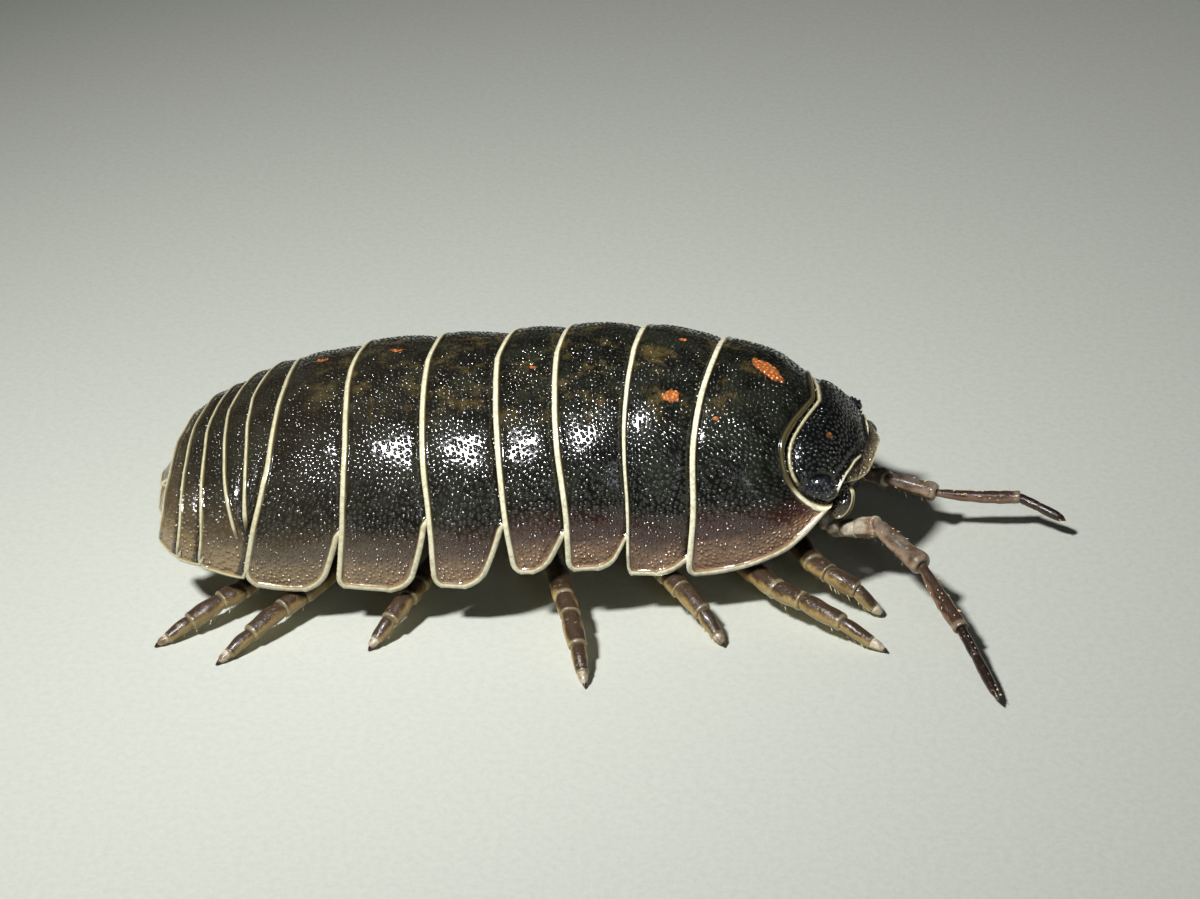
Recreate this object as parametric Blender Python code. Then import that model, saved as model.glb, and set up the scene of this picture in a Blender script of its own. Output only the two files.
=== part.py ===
# Woodlouse, a still life-size model
#
# A pill woodlouse standing on its fourteen legs with both feelers forward. The body runs along X with
# the head at +X. The floor is Z = 0. All lengths below are in millimetres and are turned into metres
# when a mesh is made.

import math

import bmesh
import bpy
import numpy as np
from mathutils import Matrix, Vector

MM = 0.001

# Whole body: stations from the tail to the neck as place along the body, half width, height of the back
STATIONS = (
    (-8.7, 0.9, 1.55),
    (-8.0, 2.35, 2.45),
    (-6.5, 3.25, 3.42),
    (-4.0, 3.50, 4.32),
    (0.0, 3.62, 4.62),
    (3.5, 3.22, 4.80),
    (6.3, 2.72, 4.10),
    (7.6, 2.45, 3.45),
)
SIDE_FULLNESS = 0.85
TOP_FULLNESS = 0.95
BELLY_HEIGHT = 2.0
BELLY_HEIGHT_TAIL = 1.60
BELLY_BULGE = 0.12
LAST_RING_BELLY = 1.25
FLAP_THICKNESS = 0.5
PLATE_GAP = 0.2
TAIL_GAP = 0.16
FLAP_THICKNESS_FRONT = 0.35
HEAD_TURN = 0.14
HEAD_TURN_START = 2.2
FRONT_SHIFT = 0.35

# Rear edge of each plate: on the middle of the back, on the shoulder, on the flank, at the lower tip
REAR_EDGES = {
    "pereonite_1": (4.65, 4.60, 4.65, 4.50),
    "pereonite_2": (2.87, 2.95, 3.12, 3.00),
    "pereonite_3": (1.10, 1.30, 1.48, 1.45),
    "pereonite_4": (-0.27, 0.00, 0.15, 0.25),
    "pereonite_5": (-1.88, -1.70, -1.56, -1.58),
    "pereonite_6": (-3.68, -3.50, -3.60, -3.80),
    "pereonite_7": (-5.28, -5.36, -5.72, -5.98),
    "pleonite_1": (-6.05, -5.80, -5.80, -5.80),
    "pleonite_2": (-6.65, -6.30, -6.05, -6.00),
    "pleonite_3": (-7.12, -6.92, -6.90, -7.05),
    "pleonite_4": (-7.55, -7.42, -7.45, -7.60),
    "pleonite_5": (-7.98, -7.90, -8.00, -8.15),
}
# Lower tip height and how far the front edge falls back at the tip, as a share of the plate's length
LOBES = {
    "pereonite_1": (0.92, 0.0),
    "pereonite_2": (0.98, 0.40),
    "pereonite_3": (1.22, 0.52),
    "pereonite_4": (1.24, 0.62),
    "pereonite_5": (0.95, 0.55),
    "pereonite_6": (0.84, 0.42),
    "pereonite_7": (0.80, 0.36),
    "pleonite_1": (1.25, 0.0),
    "pleonite_2": (1.25, 0.0),
    "pleonite_3": (1.25, 0.25),
    "pleonite_4": (1.30, 0.18),
    "pleonite_5": (1.32, 0.08),
}
# First arc angle in degrees of the plates that have no lobe
ARC_START = {"pleonite_1": 50.0, "pleonite_2": 38.0}
P1_FRONT = (7.02, 6.62, 7.10, 7.30)
P1_CORNER_HEIGHT = 1.95
P1_LOW_EDGE_START = 4.9
P1_SHARES = (0.0, 0.08, 0.22, 0.4, 0.62, 0.9, 1.0)
P1_LIFTS = (-0.06, -0.02, 0.0, 0.01, 0.04, 0.10, 0.055)
PLATE_SHARES = (0.0, 0.14, 0.55, 0.9, 1.0)
PLATE_LIFTS = (-0.06, 0.0, 0.03, 0.10, 0.055)
TAIL_SHARES = (0.0, 0.6, 1.0)
TAIL_LIFTS = (-0.04, 0.03, 0.03)
LOBE_REACH = 1.35
TIP_ROUND = 0.35
ARC_ANGLES = (0.0, 3.0, 7.0, 12.0, 18.0, 26.0, 36.0, 48.0, 61.0, 75.0, 90.0)

# Head
HEAD_STATIONS = (
    (7.16, 1.70, 1.55, 3.60, 0.42),
    (7.26, 1.84, 1.22, 3.73, 0.38),
    (7.55, 1.86, 1.08, 3.52, 0.24),
    (7.88, 1.74, 1.20, 3.10, 0.12),
    (8.12, 1.42, 1.60, 2.66, 0.05),
    (8.24, 0.92, 2.00, 2.36, 0.0),
)
HEAD_SIDES = 20
JAW_TAPER = 0.3
SHIELD_CENTRE = (8.20, 0.0, 2.26)
SHIELD_SIZE = (0.16, 0.95, 0.26)
BROW_LOBE_CENTRE = (7.84, 1.38, 1.76)
BROW_LOBE_SIZE = (0.28, 0.30, 0.36)
EYE_CENTRE = (7.32, 1.80, 2.46)
EYE_SIZE = (0.30, 0.20, 0.22)
EYE_GAP = 0.1

# Feelers: joints from root to tip and the radius at each
FEELER_NEAR = (
    (7.34, -1.66, 0.92),
    (7.82, -1.92, 1.16),
    (8.28, -2.10, 1.44),
    (9.28, -3.32, 1.19),
    (10.12, -4.95, 0.66),
)
LASH_NEAR = ((10.12, -4.95, 0.66), (10.45, -5.72, 0.44), (10.90, -6.95, 0.24))
FEELER_FAR = (
    (7.62, 1.12, 0.86),
    (8.02, 0.72, 1.02),
    (8.45, 0.35, 1.10),
    (9.55, 0.02, 0.92),
    (11.42, 0.02, 0.76),
)
LASH_FAR = ((11.42, 0.02, 0.76), (11.88, -0.22, 0.64), (12.46, -0.50, 0.45))
FEELER_RADII = (0.26, 0.33, 0.30, 0.29, 0.24)
LASH_RADII = (0.21, 0.17, 0.07)
LASH_GAP = 0.12

# Legs: joints of the near side from hip to tip, then the change of each joint on the far side
LEGS_NEAR = (
    ((5.75, -1.55, 1.52), (5.85, -0.75, 1.05), (6.98, -2.95, 0.82), (7.72, -3.30, 0.62), (8.42, -3.62, 0.03)),
    ((3.90, -1.85, 1.52), (4.05, -0.80, 1.02), (5.62, -3.05, 0.60), (7.15, -4.18, 0.52), (8.55, -4.98, 0.03)),
    ((2.10, -1.90, 1.52), (2.25, -0.85, 1.02), (3.78, -3.20, 0.68), (4.45, -4.05, 0.50), (4.98, -4.72, 0.03)),
    ((0.45, -1.90, 1.52), (0.50, -0.85, 1.02), (1.28, -3.35, 0.66), (1.72, -4.85, 0.52), (2.05, -6.20, 0.03)),
    ((-1.10, -1.90, 1.52), (-1.20, -0.85, 1.00), (-2.15, -3.30, 0.50), (-2.45, -3.95, 0.42), (-2.97, -4.75, 0.03)),
    ((-2.80, -1.90, 1.52), (-2.95, -0.85, 1.00), (-4.60, -3.10, 0.46), (-5.30, -4.00, 0.38), (-6.34, -5.25, 0.03)),
    ((-4.50, -1.80, 1.50), (-4.70, -0.80, 0.98), (-6.05, -2.90, 0.46), (-6.75, -3.60, 0.38), (-7.90, -4.55, 0.03)),
)
FAR_FOOT_SHIFT = (
    (-0.9, 0.1),
    (-1.5, -0.5),
    (0.3, 0.3),
    (-1.0, -0.9),
    (0.5, 0.4),
    (0.6, -0.3),
    (0.3, 0.2),
)
LEG_RADII = (0.30, 0.31, 0.25, 0.20, 0.09)
FOOT_FLAT = 0.0

# Tail plate, tail legs, gill flaps and mouth
TELSON = ((-8.02, 0.86, 2.36), (-8.25, 0.66, 2.14), (-8.52, 0.36, 1.86), (-8.60, 0.28, 1.72))
TELSON_THICKNESS = 0.5
UROPOD = ((-8.13, 1.00, 1.90, 2.02, 1.70), (-8.34, 0.86, 1.62, 1.92, 1.66), (-8.52, 0.52, 1.10, 1.80, 1.62))
UROPOD_THICKNESS = 0.36
PLEOPOD_COUNT = 5
PLEOPOD_FIRST = (-5.55, 0.95, 1.20)
PLEOPOD_LAST = (-7.12, 0.80, 1.08)
PLEOPOD_SIZE = (0.46, 0.66, 0.22)
MOUTH_LOBES = (((7.35, 0.0, 0.84), (0.42, 0.55, 0.20)), ((7.62, 0.30, 0.86), (0.28, 0.26, 0.20)))

COLOURS = {
    "shell": ((0.028, 0.032, 0.036), 0.26),
    "rear_shell": ((0.034, 0.036, 0.038), 0.28),
    "head_shell": ((0.035, 0.036, 0.036), 0.3),
    "eye": ((0.008, 0.008, 0.009), 0.18),
    "feeler": ((0.20, 0.11, 0.06), 0.38),
    "lash": ((0.09, 0.055, 0.04), 0.42),
    "leg": ((0.25, 0.17, 0.10), 0.36),
    "mouth": ((0.42, 0.33, 0.22), 0.45),
    "gill": ((0.66, 0.62, 0.52), 0.5),
    "tail": ((0.055, 0.048, 0.040), 0.3),
}


def material(name):
    colour, roughness = COLOURS[name]
    made = bpy.data.materials.get(name) or bpy.data.materials.new(name)
    made.use_nodes = True
    shader = made.node_tree.nodes["Principled BSDF"]
    shader.inputs["Base Color"].default_value = (*colour, 1.0)
    shader.inputs["Roughness"].default_value = roughness
    shader.inputs["Metallic"].default_value = 0.0
    made.diffuse_color = (*colour, 1.0)
    return made


def smooth_table(knots, values, place):
    knots = np.asarray(knots, float)
    values = np.asarray(values, float)
    slopes = np.gradient(values, knots)
    place = float(np.clip(place, knots[0], knots[-1]))
    k = int(np.clip(np.searchsorted(knots, place) - 1, 0, len(knots) - 2))
    span = knots[k + 1] - knots[k]
    t = (place - knots[k]) / span
    a = (1 + 2 * t) * (1 - t) ** 2
    b = t * (1 - t) ** 2
    c = t * t * (3 - 2 * t)
    d = t * t * (t - 1)
    return a * values[k] + b * span * slopes[k] + c * values[k + 1] + d * span * slopes[k + 1]


def half_width(x):
    return smooth_table([s[0] for s in STATIONS], [s[1] for s in STATIONS], x)


def ridge(x):
    return smooth_table([s[0] for s in STATIONS], [s[2] for s in STATIONS], x)


def belly(x):
    share = min(max((-4.5 - x) / 2.5, 0.0), 1.0)
    return BELLY_HEIGHT + (BELLY_HEIGHT_TAIL - BELLY_HEIGHT) * share


def turned(point):
    # The front of the body turns a little to the near side
    x, y, z = point
    share = min(max((x - HEAD_TURN_START) / 1.6, 0.0), 1.0)
    share = share * share * (3 - 2 * share)
    shift = -FRONT_SHIFT * share * min(max((x - HEAD_TURN_START) / 5.0, 0.0), 1.2)
    return (x + HEAD_TURN * share * y, y + shift, z)


def edge_place(edges, angle):
    # A smooth run from the tip of the lobe over the flank and shoulder to the middle of the back
    middle, shoulder, flank, tip = edges
    return smooth_table((0.0, 20.0, 48.0, 90.0), (tip, flank, shoulder, middle), min(angle, 180.0 - angle))


def lobe_drop(name, x):
    low = LOBES[name][0]
    if name == "pereonite_1":
        share = min(max((x - P1_LOW_EDGE_START) / (P1_FRONT[3] - P1_LOW_EDGE_START), 0.0), 1.0)
        return low + (P1_CORNER_HEIGHT - low) * share ** 1.8
    return low


def shell_point(name, x, angle, lift):
    low = lobe_drop(name, x)
    w = half_width(x) + lift
    top = ridge(x) + lift
    folded = min(angle, 180.0 - angle)
    c = math.cos(math.radians(folded))
    s = math.sin(math.radians(folded))
    side = -1.0 if angle < 90.0 else 1.0
    return (x, side * w * c ** SIDE_FULLNESS, low + (top - low) * s ** TOP_FULLNESS)


def inner_point(name, x, angle, outer):
    # Inner end of the ring's wall: the flap's inner side, then the belly
    roof = LAST_RING_BELLY if name == "pleonite_5" else belly(x)
    thin = min(max((x - 5.6) / 1.2, 0.0), 1.0)
    reach = half_width(x) - FLAP_THICKNESS + (FLAP_THICKNESS - FLAP_THICKNESS_FRONT) * thin
    y = reach * (abs(outer[1]) / half_width(x)) ** 0.6
    if name == "pleonite_5":
        y = reach * (1.0 - min(angle, 180.0 - angle) / 90.0) ** 0.8
    bowed = roof - BELLY_BULGE * (1.0 - (y / reach) ** 2)
    z = min(outer[2] + 0.06, bowed)
    side = -1.0 if angle < 90.0 else 1.0
    return (side * y, z)


def add_mesh(name, points, faces, look):
    mesh = bpy.data.meshes.new(name)
    mesh.from_pydata([Vector(p) * MM for p in points], [], faces)
    bm = bmesh.new()
    bm.from_mesh(mesh)
    bmesh.ops.recalc_face_normals(bm, faces=bm.faces)
    bm.to_mesh(mesh)
    bm.free()
    obj = bpy.data.objects.new(name, mesh)
    bpy.context.scene.collection.objects.link(obj)
    mesh.materials.append(material(look))
    return obj


def loft(name, loops, look):
    # Closed solid through loops that have the same number of points
    count = len(loops[0])
    points = [p for loop in loops for p in loop]
    faces = []
    for k in range(len(loops) - 1):
        for j in range(count):
            a = k * count + j
            b = k * count + (j + 1) % count
            faces.append((a, b, b + count, a + count))
    faces.append(tuple(range(count)))
    last = (len(loops) - 1) * count
    faces.append(tuple(last + j for j in range(count)))
    return add_mesh(name, points, faces, look)


def arc_angles(name):
    start = ARC_START.get(name, 0.0)
    half = [a for a in ARC_ANGLES if a > start + 1.0]
    half = [start] + half
    return half + [180.0 - a for a in reversed(half[:-1])]


def plate(name, front_edges, gap, look):
    # One ring of the shell: the outer arc with its lobes, and the belly between them
    angles = arc_angles(name)
    low, fall_back = LOBES[name]
    shares, lifts = PLATE_SHARES, PLATE_LIFTS
    tail = name.startswith("pleonite")
    if name == "pereonite_1":
        shares, lifts = P1_SHARES, P1_LIFTS
    if tail:
        shares, lifts = TAIL_SHARES, TAIL_LIFTS
    loops = []
    for share, lift in zip(shares, lifts):
        outer = []
        inner = []
        for angle in angles:
            rear = edge_place(REAR_EDGES[name], angle)
            front = edge_place(front_edges, angle) - gap
            height = shell_point(name, 0.5 * (rear + front), angle, 0.0)[2] - low
            length = front - rear
            if name != "pereonite_1":
                front -= length * fall_back * max(1.0 - height / LOBE_REACH, 0.0) ** 1.6
            rear += min(TIP_ROUND, 0.28 * length) * max(1.0 - height / 0.45, 0.0) ** 2
            x = front + (rear - front) * share
            point = shell_point(name, x, angle, lift)
            outer.append(point)
            y, z = inner_point(name, x, angle, point)
            inner.append((x, y, z))
        loops.append([turned(p) for p in outer + inner[::-1]])
    count = len(angles)
    points = [p for loop in loops for p in loop]
    size = 2 * count
    faces = []
    for k in range(len(loops) - 1):
        for j in range(size):
            a = k * size + j
            b = k * size + (j + 1) % size
            faces.append((a, b, b + size, a + size))
    for base in (0, (len(loops) - 1) * size):
        for j in range(count - 1):
            faces.append((base + j, base + j + 1, base + size - 2 - j, base + size - 1 - j))
    return add_mesh(name, points, faces, look)


def ellipsoid(name, centre, size, look, turn=0.0, segments=12, rings=8):
    mesh = bpy.data.meshes.new(name)
    bm = bmesh.new()
    bmesh.ops.create_uvsphere(bm, u_segments=segments, v_segments=rings, radius=1.0)
    place = Matrix.Translation(Vector(centre) * MM) @ Matrix.Rotation(turn, 4, "Y")
    place = place @ Matrix.Diagonal((size[0] * MM, size[1] * MM, size[2] * MM, 1.0))
    bm.transform(place)
    bm.to_mesh(mesh)
    bm.free()
    obj = bpy.data.objects.new(name, mesh)
    bpy.context.scene.collection.objects.link(obj)
    mesh.materials.append(material(look))
    return obj


def tube(name, joints, radii, look, sides=8, flat_end=False, waist=0.86):
    # A jointed limb: each article swells between two narrower joints
    joints = [np.asarray(j, float) for j in joints]
    centres = []
    widths = []
    for k in range(len(joints) - 1):
        a, b = joints[k], joints[k + 1]
        ra, rb = radii[k], radii[k + 1]
        first = 0.0 if k == 0 else 0.12
        last = 1.0 if k == len(joints) - 2 else 0.88
        for t in (first, 0.5, last):
            swell = 1.0 if t == 0.5 else waist
            centres.append(a + (b - a) * t)
            widths.append((ra + (rb - ra) * t) * swell)
    loops = []
    for k, centre in enumerate(centres):
        ahead = centres[min(k + 1, len(centres) - 1)]
        behind = centres[max(k - 1, 0)]
        run = Vector(ahead - behind).normalized()
        up = Vector((0.0, 0.0, 1.0))
        across = run.cross(up).normalized()
        over = across.cross(run).normalized()
        ring = []
        for j in range(sides):
            turn = 2.0 * math.pi * (j + 0.5) / sides
            offset = (across * math.cos(turn) + over * math.sin(turn)) * widths[k]
            ring.append(tuple(Vector(centre) + offset))
        loops.append(ring)
    return loft(name, loops, look)


def apply_boolean(obj, others, operation):
    tools = bpy.data.collections.new("tools")
    bpy.context.scene.collection.children.link(tools)
    for other in others:
        bpy.context.scene.collection.objects.unlink(other)
        tools.objects.link(other)
    step = obj.modifiers.new("join", "BOOLEAN")
    step.operand_type = "COLLECTION"
    step.collection = tools
    step.operation = operation
    step.solver = "EXACT"
    bpy.context.view_layer.update()
    shaped = bpy.data.meshes.new_from_object(obj.evaluated_get(bpy.context.evaluated_depsgraph_get()))
    obj.modifiers.clear()
    obj.data = shaped
    for other in list(tools.objects):
        bpy.data.objects.remove(other)
    bpy.data.collections.remove(tools)
    keep_largest(obj)
    return obj


def keep_largest(obj):
    bm = bmesh.new()
    bm.from_mesh(obj.data)
    bmesh.ops.remove_doubles(bm, verts=bm.verts, dist=0.000002)
    bmesh.ops.triangulate(bm, faces=bm.faces)
    left = set(bm.faces)
    best = []
    while left:
        start = left.pop()
        group = [start]
        queue = [start]
        while queue:
            face = queue.pop()
            for edge in face.edges:
                for near in edge.link_faces:
                    if near in left:
                        left.remove(near)
                        group.append(near)
                        queue.append(near)
        if len(group) > len(best):
            best = group
    keep = set(best)
    bmesh.ops.delete(bm, geom=[f for f in bm.faces if f not in keep], context="FACES")
    loose = [v for v in bm.verts if not v.link_faces]
    bmesh.ops.delete(bm, geom=loose, context="VERTS")
    bm.to_mesh(obj.data)
    bm.free()


def cut_at_floor(obj):
    # A small flat under the foot at the floor's level
    bm = bmesh.new()
    bm.from_mesh(obj.data)
    geometry = bm.verts[:] + bm.edges[:] + bm.faces[:]
    bmesh.ops.bisect_plane(
        bm,
        geom=geometry,
        plane_co=(0.0, 0.0, FOOT_FLAT * MM),
        plane_no=(0.0, 0.0, -1.0),
        clear_outer=True,
    )
    open_edges = [e for e in bm.edges if len(e.link_faces) == 1]
    bmesh.ops.contextual_create(bm, geom=open_edges)
    bmesh.ops.recalc_face_normals(bm, faces=bm.faces)
    bm.to_mesh(obj.data)
    bm.free()


def make_shell():
    front = P1_FRONT
    for name in REAR_EDGES:
        gap = TAIL_GAP if name.startswith("pleonite") else PLATE_GAP
        if name == "pereonite_1":
            gap = 0.0
        look = "rear_shell" if name.startswith("pleonite") else "shell"
        edges = front
        if name == "pleonite_3":
            edges = (front[0], front[1], -5.88, REAR_EDGES["pereonite_7"][3])
        plate(name, edges, gap, look)
        front = REAR_EDGES[name]


def make_head():
    loops = []
    for x, w, low, top, bow in HEAD_STATIONS:
        ring = []
        for j in range(HEAD_SIDES):
            turn = 2.0 * math.pi * (j + 0.5) / HEAD_SIDES
            c, s = math.cos(turn), math.sin(turn)
            y = w * math.copysign(abs(c) ** 0.8, c) * (1.0 - JAW_TAPER * max(-s, 0.0))
            z = 0.5 * (top + low) + 0.5 * (top - low) * s
            ring.append(turned((x - bow * (y / w) ** 2, y, z)))
        loops.append(ring)
    head = loft("head", loops, "head_shell")
    parts = [ellipsoid("shield", turned(SHIELD_CENTRE), SHIELD_SIZE, "head_shell", turn=-0.5)]
    for side in (-1.0, 1.0):
        x, y, z = BROW_LOBE_CENTRE
        parts.append(ellipsoid("brow", turned((x, side * y, z)), BROW_LOBE_SIZE, "head_shell"))
    apply_boolean(head, parts, "UNION")
    sockets = []
    for side in (-1.0, 1.0):
        x, y, z = EYE_CENTRE
        wide = tuple(s + EYE_GAP for s in EYE_SIZE)
        sockets.append(ellipsoid("socket", turned((x, side * y, z)), wide, "eye"))
        label = "eye_right" if side < 0 else "eye_left"
        ellipsoid(label, turned((x, side * y, z)), EYE_SIZE, "eye")
    apply_boolean(head, sockets, "DIFFERENCE")
    mouth = ellipsoid("mouthparts", turned(MOUTH_LOBES[0][0]), MOUTH_LOBES[0][1], "mouth")
    extra = []
    for side in (-1.0, 1.0):
        (x, y, z), size = MOUTH_LOBES[1]
        extra.append(ellipsoid("palp", turned((x, side * y, z)), size, "mouth"))
    apply_boolean(mouth, extra, "UNION")


def shortened(joints, gap):
    first, second = np.asarray(joints[0], float), np.asarray(joints[1], float)
    run = (second - first) / np.linalg.norm(second - first)
    return (tuple(first + run * gap),) + tuple(joints[1:])


def make_feelers():
    for side, stalk, lash in (("right", FEELER_NEAR, LASH_NEAR), ("left", FEELER_FAR, LASH_FAR)):
        tube(f"antenna_{side}_peduncle", stalk, FEELER_RADII, "feeler", sides=10)
        tube(f"antenna_{side}_flagellum", shortened(lash, LASH_GAP), LASH_RADII, "lash", waist=0.94)


def make_leg(name, joints):
    hip = joints[0]
    top = (hip[0], hip[1], hip[2] + 0.2)
    upper = tube(name, (top, hip, joints[1]), (0.26, LEG_RADII[0], LEG_RADII[1] * 0.9), "leg")
    knee = np.asarray(joints[1], float)
    out = np.asarray(joints[2], float)
    back = knee - (out - knee) / np.linalg.norm(out - knee) * 0.22
    middle = knee + (out - knee) * 0.5
    chain = (tuple(back), tuple(middle), joints[2], joints[3], joints[4])
    lower = tube(name + "_lower", chain, (0.27, LEG_RADII[1] * 0.9, LEG_RADII[2], LEG_RADII[3], 0.12), "leg")
    apply_boolean(upper, [lower], "UNION")
    cut_at_floor(upper)


def make_legs():
    for k, joints in enumerate(LEGS_NEAR):
        make_leg(f"leg_{k + 1}_right", joints)
        dx, dy = FAR_FOOT_SHIFT[k]
        far = []
        for n, (x, y, z) in enumerate(joints):
            share = (0.0, 0.0, 0.35, 0.7, 1.0)[n]
            far.append((x + dx * share, -y + dy * share, z))
        make_leg(f"leg_{k + 1}_left", tuple(far))


def make_tail():
    loops = []
    for x, w, z in TELSON:
        low = z - TELSON_THICKNESS
        loops.append([
            (x, -w, low + 0.06),
            (x, -w, z - 0.14),
            (x, -w * 0.5, z),
            (x, w * 0.5, z),
            (x, w, z - 0.14),
            (x, w, low + 0.06),
            (x, w * 0.5, low),
            (x, -w * 0.5, low),
        ])
    loft("telson", loops, "tail")
    for side, label in ((-1.0, "uropod_right"), (1.0, "uropod_left")):
        loops = []
        for x, near, far, high, side_high in UROPOD:
            middle = 0.5 * (near + far)
            loops.append([
                (x, side * near, high - UROPOD_THICKNESS),
                (x, side * near, high),
                (x, side * middle, 0.5 * (high + side_high) + 0.03),
                (x, side * far, side_high),
                (x, side * far, side_high - UROPOD_THICKNESS * 0.8),
                (x, side * middle, 0.5 * (high + side_high) - UROPOD_THICKNESS),
            ])
        loft(label, loops, "tail")


def make_pleopods():
    for side, label in ((-1.0, "pleopods_right"), (1.0, "pleopods_left")):
        flaps = []
        for k in range(PLEOPOD_COUNT):
            t = k / (PLEOPOD_COUNT - 1)
            x = PLEOPOD_FIRST[0] + (PLEOPOD_LAST[0] - PLEOPOD_FIRST[0]) * t
            y = PLEOPOD_FIRST[1] + (PLEOPOD_LAST[1] - PLEOPOD_FIRST[1]) * t
            z = PLEOPOD_FIRST[2] + (PLEOPOD_LAST[2] - PLEOPOD_FIRST[2]) * t
            size = (PLEOPOD_SIZE[0], PLEOPOD_SIZE[1] * (1.0 - 0.25 * t), PLEOPOD_SIZE[2])
            flaps.append(ellipsoid(label if k == 0 else "flap", (x, side * y, z), size, "gill", turn=0.25))
        apply_boolean(flaps[0], flaps[1:], "UNION")


def centre_on_floor():
    bpy.context.view_layer.update()
    corners = np.array([
        tuple(v.co)
        for obj in bpy.data.objects
        if obj.type == "MESH"
        for v in obj.data.vertices
    ])
    low = corners.min(axis=0)
    high = corners.max(axis=0)
    shift = Vector((-(low[0] + high[0]) / 2.0, -(low[1] + high[1]) / 2.0, -low[2]))
    for obj in bpy.data.objects:
        if obj.type == "MESH":
            obj.data.transform(Matrix.Translation(shift))
    print("shift mm", [round(c / MM, 3) for c in shift])


def main():
    for obj in list(bpy.data.objects):
        bpy.data.objects.remove(obj)
    make_shell()
    make_head()
    make_feelers()
    make_legs()
    make_tail()
    make_pleopods()
    centre_on_floor()


main()
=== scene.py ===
"""Woodlouse: a still, life-size pill woodlouse, as a museum shows one.

The body's own lengths are millimetres along the head's way, and one function brings them into the row frame.
"""

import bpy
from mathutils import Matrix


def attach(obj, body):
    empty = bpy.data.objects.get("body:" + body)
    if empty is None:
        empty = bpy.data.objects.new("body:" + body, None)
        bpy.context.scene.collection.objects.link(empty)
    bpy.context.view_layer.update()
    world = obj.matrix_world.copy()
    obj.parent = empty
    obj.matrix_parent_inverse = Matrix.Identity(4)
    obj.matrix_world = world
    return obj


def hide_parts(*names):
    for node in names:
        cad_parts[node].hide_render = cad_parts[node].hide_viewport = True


bl_info = {
    "name": "Woodlouse model",
    "version": (1, 0, 0),
    "blender": (4, 5, 0),
    "location": "View3D > Sidebar > Woodlouse",
    "description": "Builds a life-size pill woodlouse over its solids, with a floor, lights and a camera",
    "category": "Object",
}

import math

import bpy
import numpy as np
from mathutils import Matrix, Vector
from mathutils.kdtree import KDTree

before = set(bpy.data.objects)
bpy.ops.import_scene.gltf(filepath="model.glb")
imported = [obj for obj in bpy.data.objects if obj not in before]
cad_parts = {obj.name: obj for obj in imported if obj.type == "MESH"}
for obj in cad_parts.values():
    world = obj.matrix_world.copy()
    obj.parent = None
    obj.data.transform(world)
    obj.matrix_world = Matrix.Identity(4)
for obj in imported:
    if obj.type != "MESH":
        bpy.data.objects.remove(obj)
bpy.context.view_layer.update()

MM = 0.001
# From the body's own axes to the row frame
SHIFT = np.array((-1.946, 0.817, 0.0))

# Body stations from tail to neck: place along the body, half width, height of the back
STATIONS = (
    (-8.7, 0.9, 1.55),
    (-8.0, 2.35, 2.45),
    (-6.5, 3.25, 3.42),
    (-4.0, 3.50, 4.32),
    (0.0, 3.62, 4.62),
    (3.5, 3.22, 4.80),
    (6.3, 2.72, 4.10),
    (7.6, 2.45, 3.45),
)
# Powers that round the shell's section: below 1 is fuller than an ellipse
SIDE_FULLNESS = 0.85
TOP_FULLNESS = 0.95
# Turn of the front of the body: its slope, where it starts, over what length, and how far it goes sideways
HEAD_TURN = 0.14
HEAD_TURN_START = 2.2
HEAD_TURN_SPAN = 1.6
FRONT_SHIFT = 0.35
FRONT_SHIFT_SPAN = 5.0

# Rear edge of each plate: middle of the back, shoulder, flank, lower tip
REAR_EDGES = {
    "pereonite_1": (4.65, 4.60, 4.65, 4.50),
    "pereonite_2": (2.87, 2.95, 3.12, 3.00),
    "pereonite_3": (1.10, 1.30, 1.48, 1.45),
    "pereonite_4": (-0.27, 0.00, 0.15, 0.25),
    "pereonite_5": (-1.88, -1.70, -1.56, -1.58),
    "pereonite_6": (-3.68, -3.50, -3.60, -3.80),
    "pereonite_7": (-5.28, -5.36, -5.72, -5.98),
    "pleonite_1": (-6.05, -5.80, -5.80, -5.80),
    "pleonite_2": (-6.65, -6.30, -6.05, -6.00),
    "pleonite_3": (-7.12, -6.92, -6.90, -7.05),
    "pleonite_4": (-7.55, -7.42, -7.45, -7.60),
    "pleonite_5": (-7.98, -7.90, -8.00, -8.15),
}
# Side lobes: height of the lower tip, share of the length by which the front edge falls back there,
# radius of the rear corner, height of the free front edge, share of the fall that is a straight slant,
# share of the height that its round takes
LOBES = {
    "pereonite_1": (0.92, 0.0, 0.22, 0.6, 1.0, 1.0),
    "pereonite_2": (0.98, 0.48, 0.22, 0.32, 0.5, 0.5),
    "pereonite_3": (1.22, 0.61, 0.22, 0.72, 0.60, 0.36),
    "pereonite_4": (1.24, 0.68, 0.24, 0.92, 0.58, 0.40),
    "pereonite_5": (0.92, 0.64, 0.26, 1.50, 0.65, 0.28),
    "pereonite_6": (0.82, 0.48, 0.24, 1.72, 0.50, 0.26),
    "pereonite_7": (0.78, 0.36, 0.40, 1.36, 0.42, 0.36),
    "pleonite_1": (1.25, 0.0, 0.1, 0.0, 1.0, 1.0),
    "pleonite_2": (1.25, 0.0, 0.1, 0.0, 1.0, 1.0),
    "pleonite_3": (1.08, 0.10, 0.26, 0.30, 0.5, 0.6),
    "pleonite_4": (1.24, 0.10, 0.16, 0.16, 0.5, 0.6),
    "pleonite_5": (1.30, 0.08, 0.14, 0.12, 0.5, 0.6),
}
# Rise of the lower edge towards the rear corner
REAR_RISE = {"pereonite_7": 0.20, "pereonite_6": 0.10, "pereonite_5": 0.04, "pleonite_3": 0.12}
REAR_RISE_PLAIN = 0.03
# The two short plates have no lobes. They start at this angle up from the tip, and their rims fade in
ARC_START = {"pleonite_1": 21.0, "pleonite_2": 16.0}
ARC_FADE = 9.0
# Ends of the front edge of the third tail plate, which lies on the last body plate: flank and tip
TAIL_LOBE_FRONT = (-5.72, -5.98)
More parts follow.
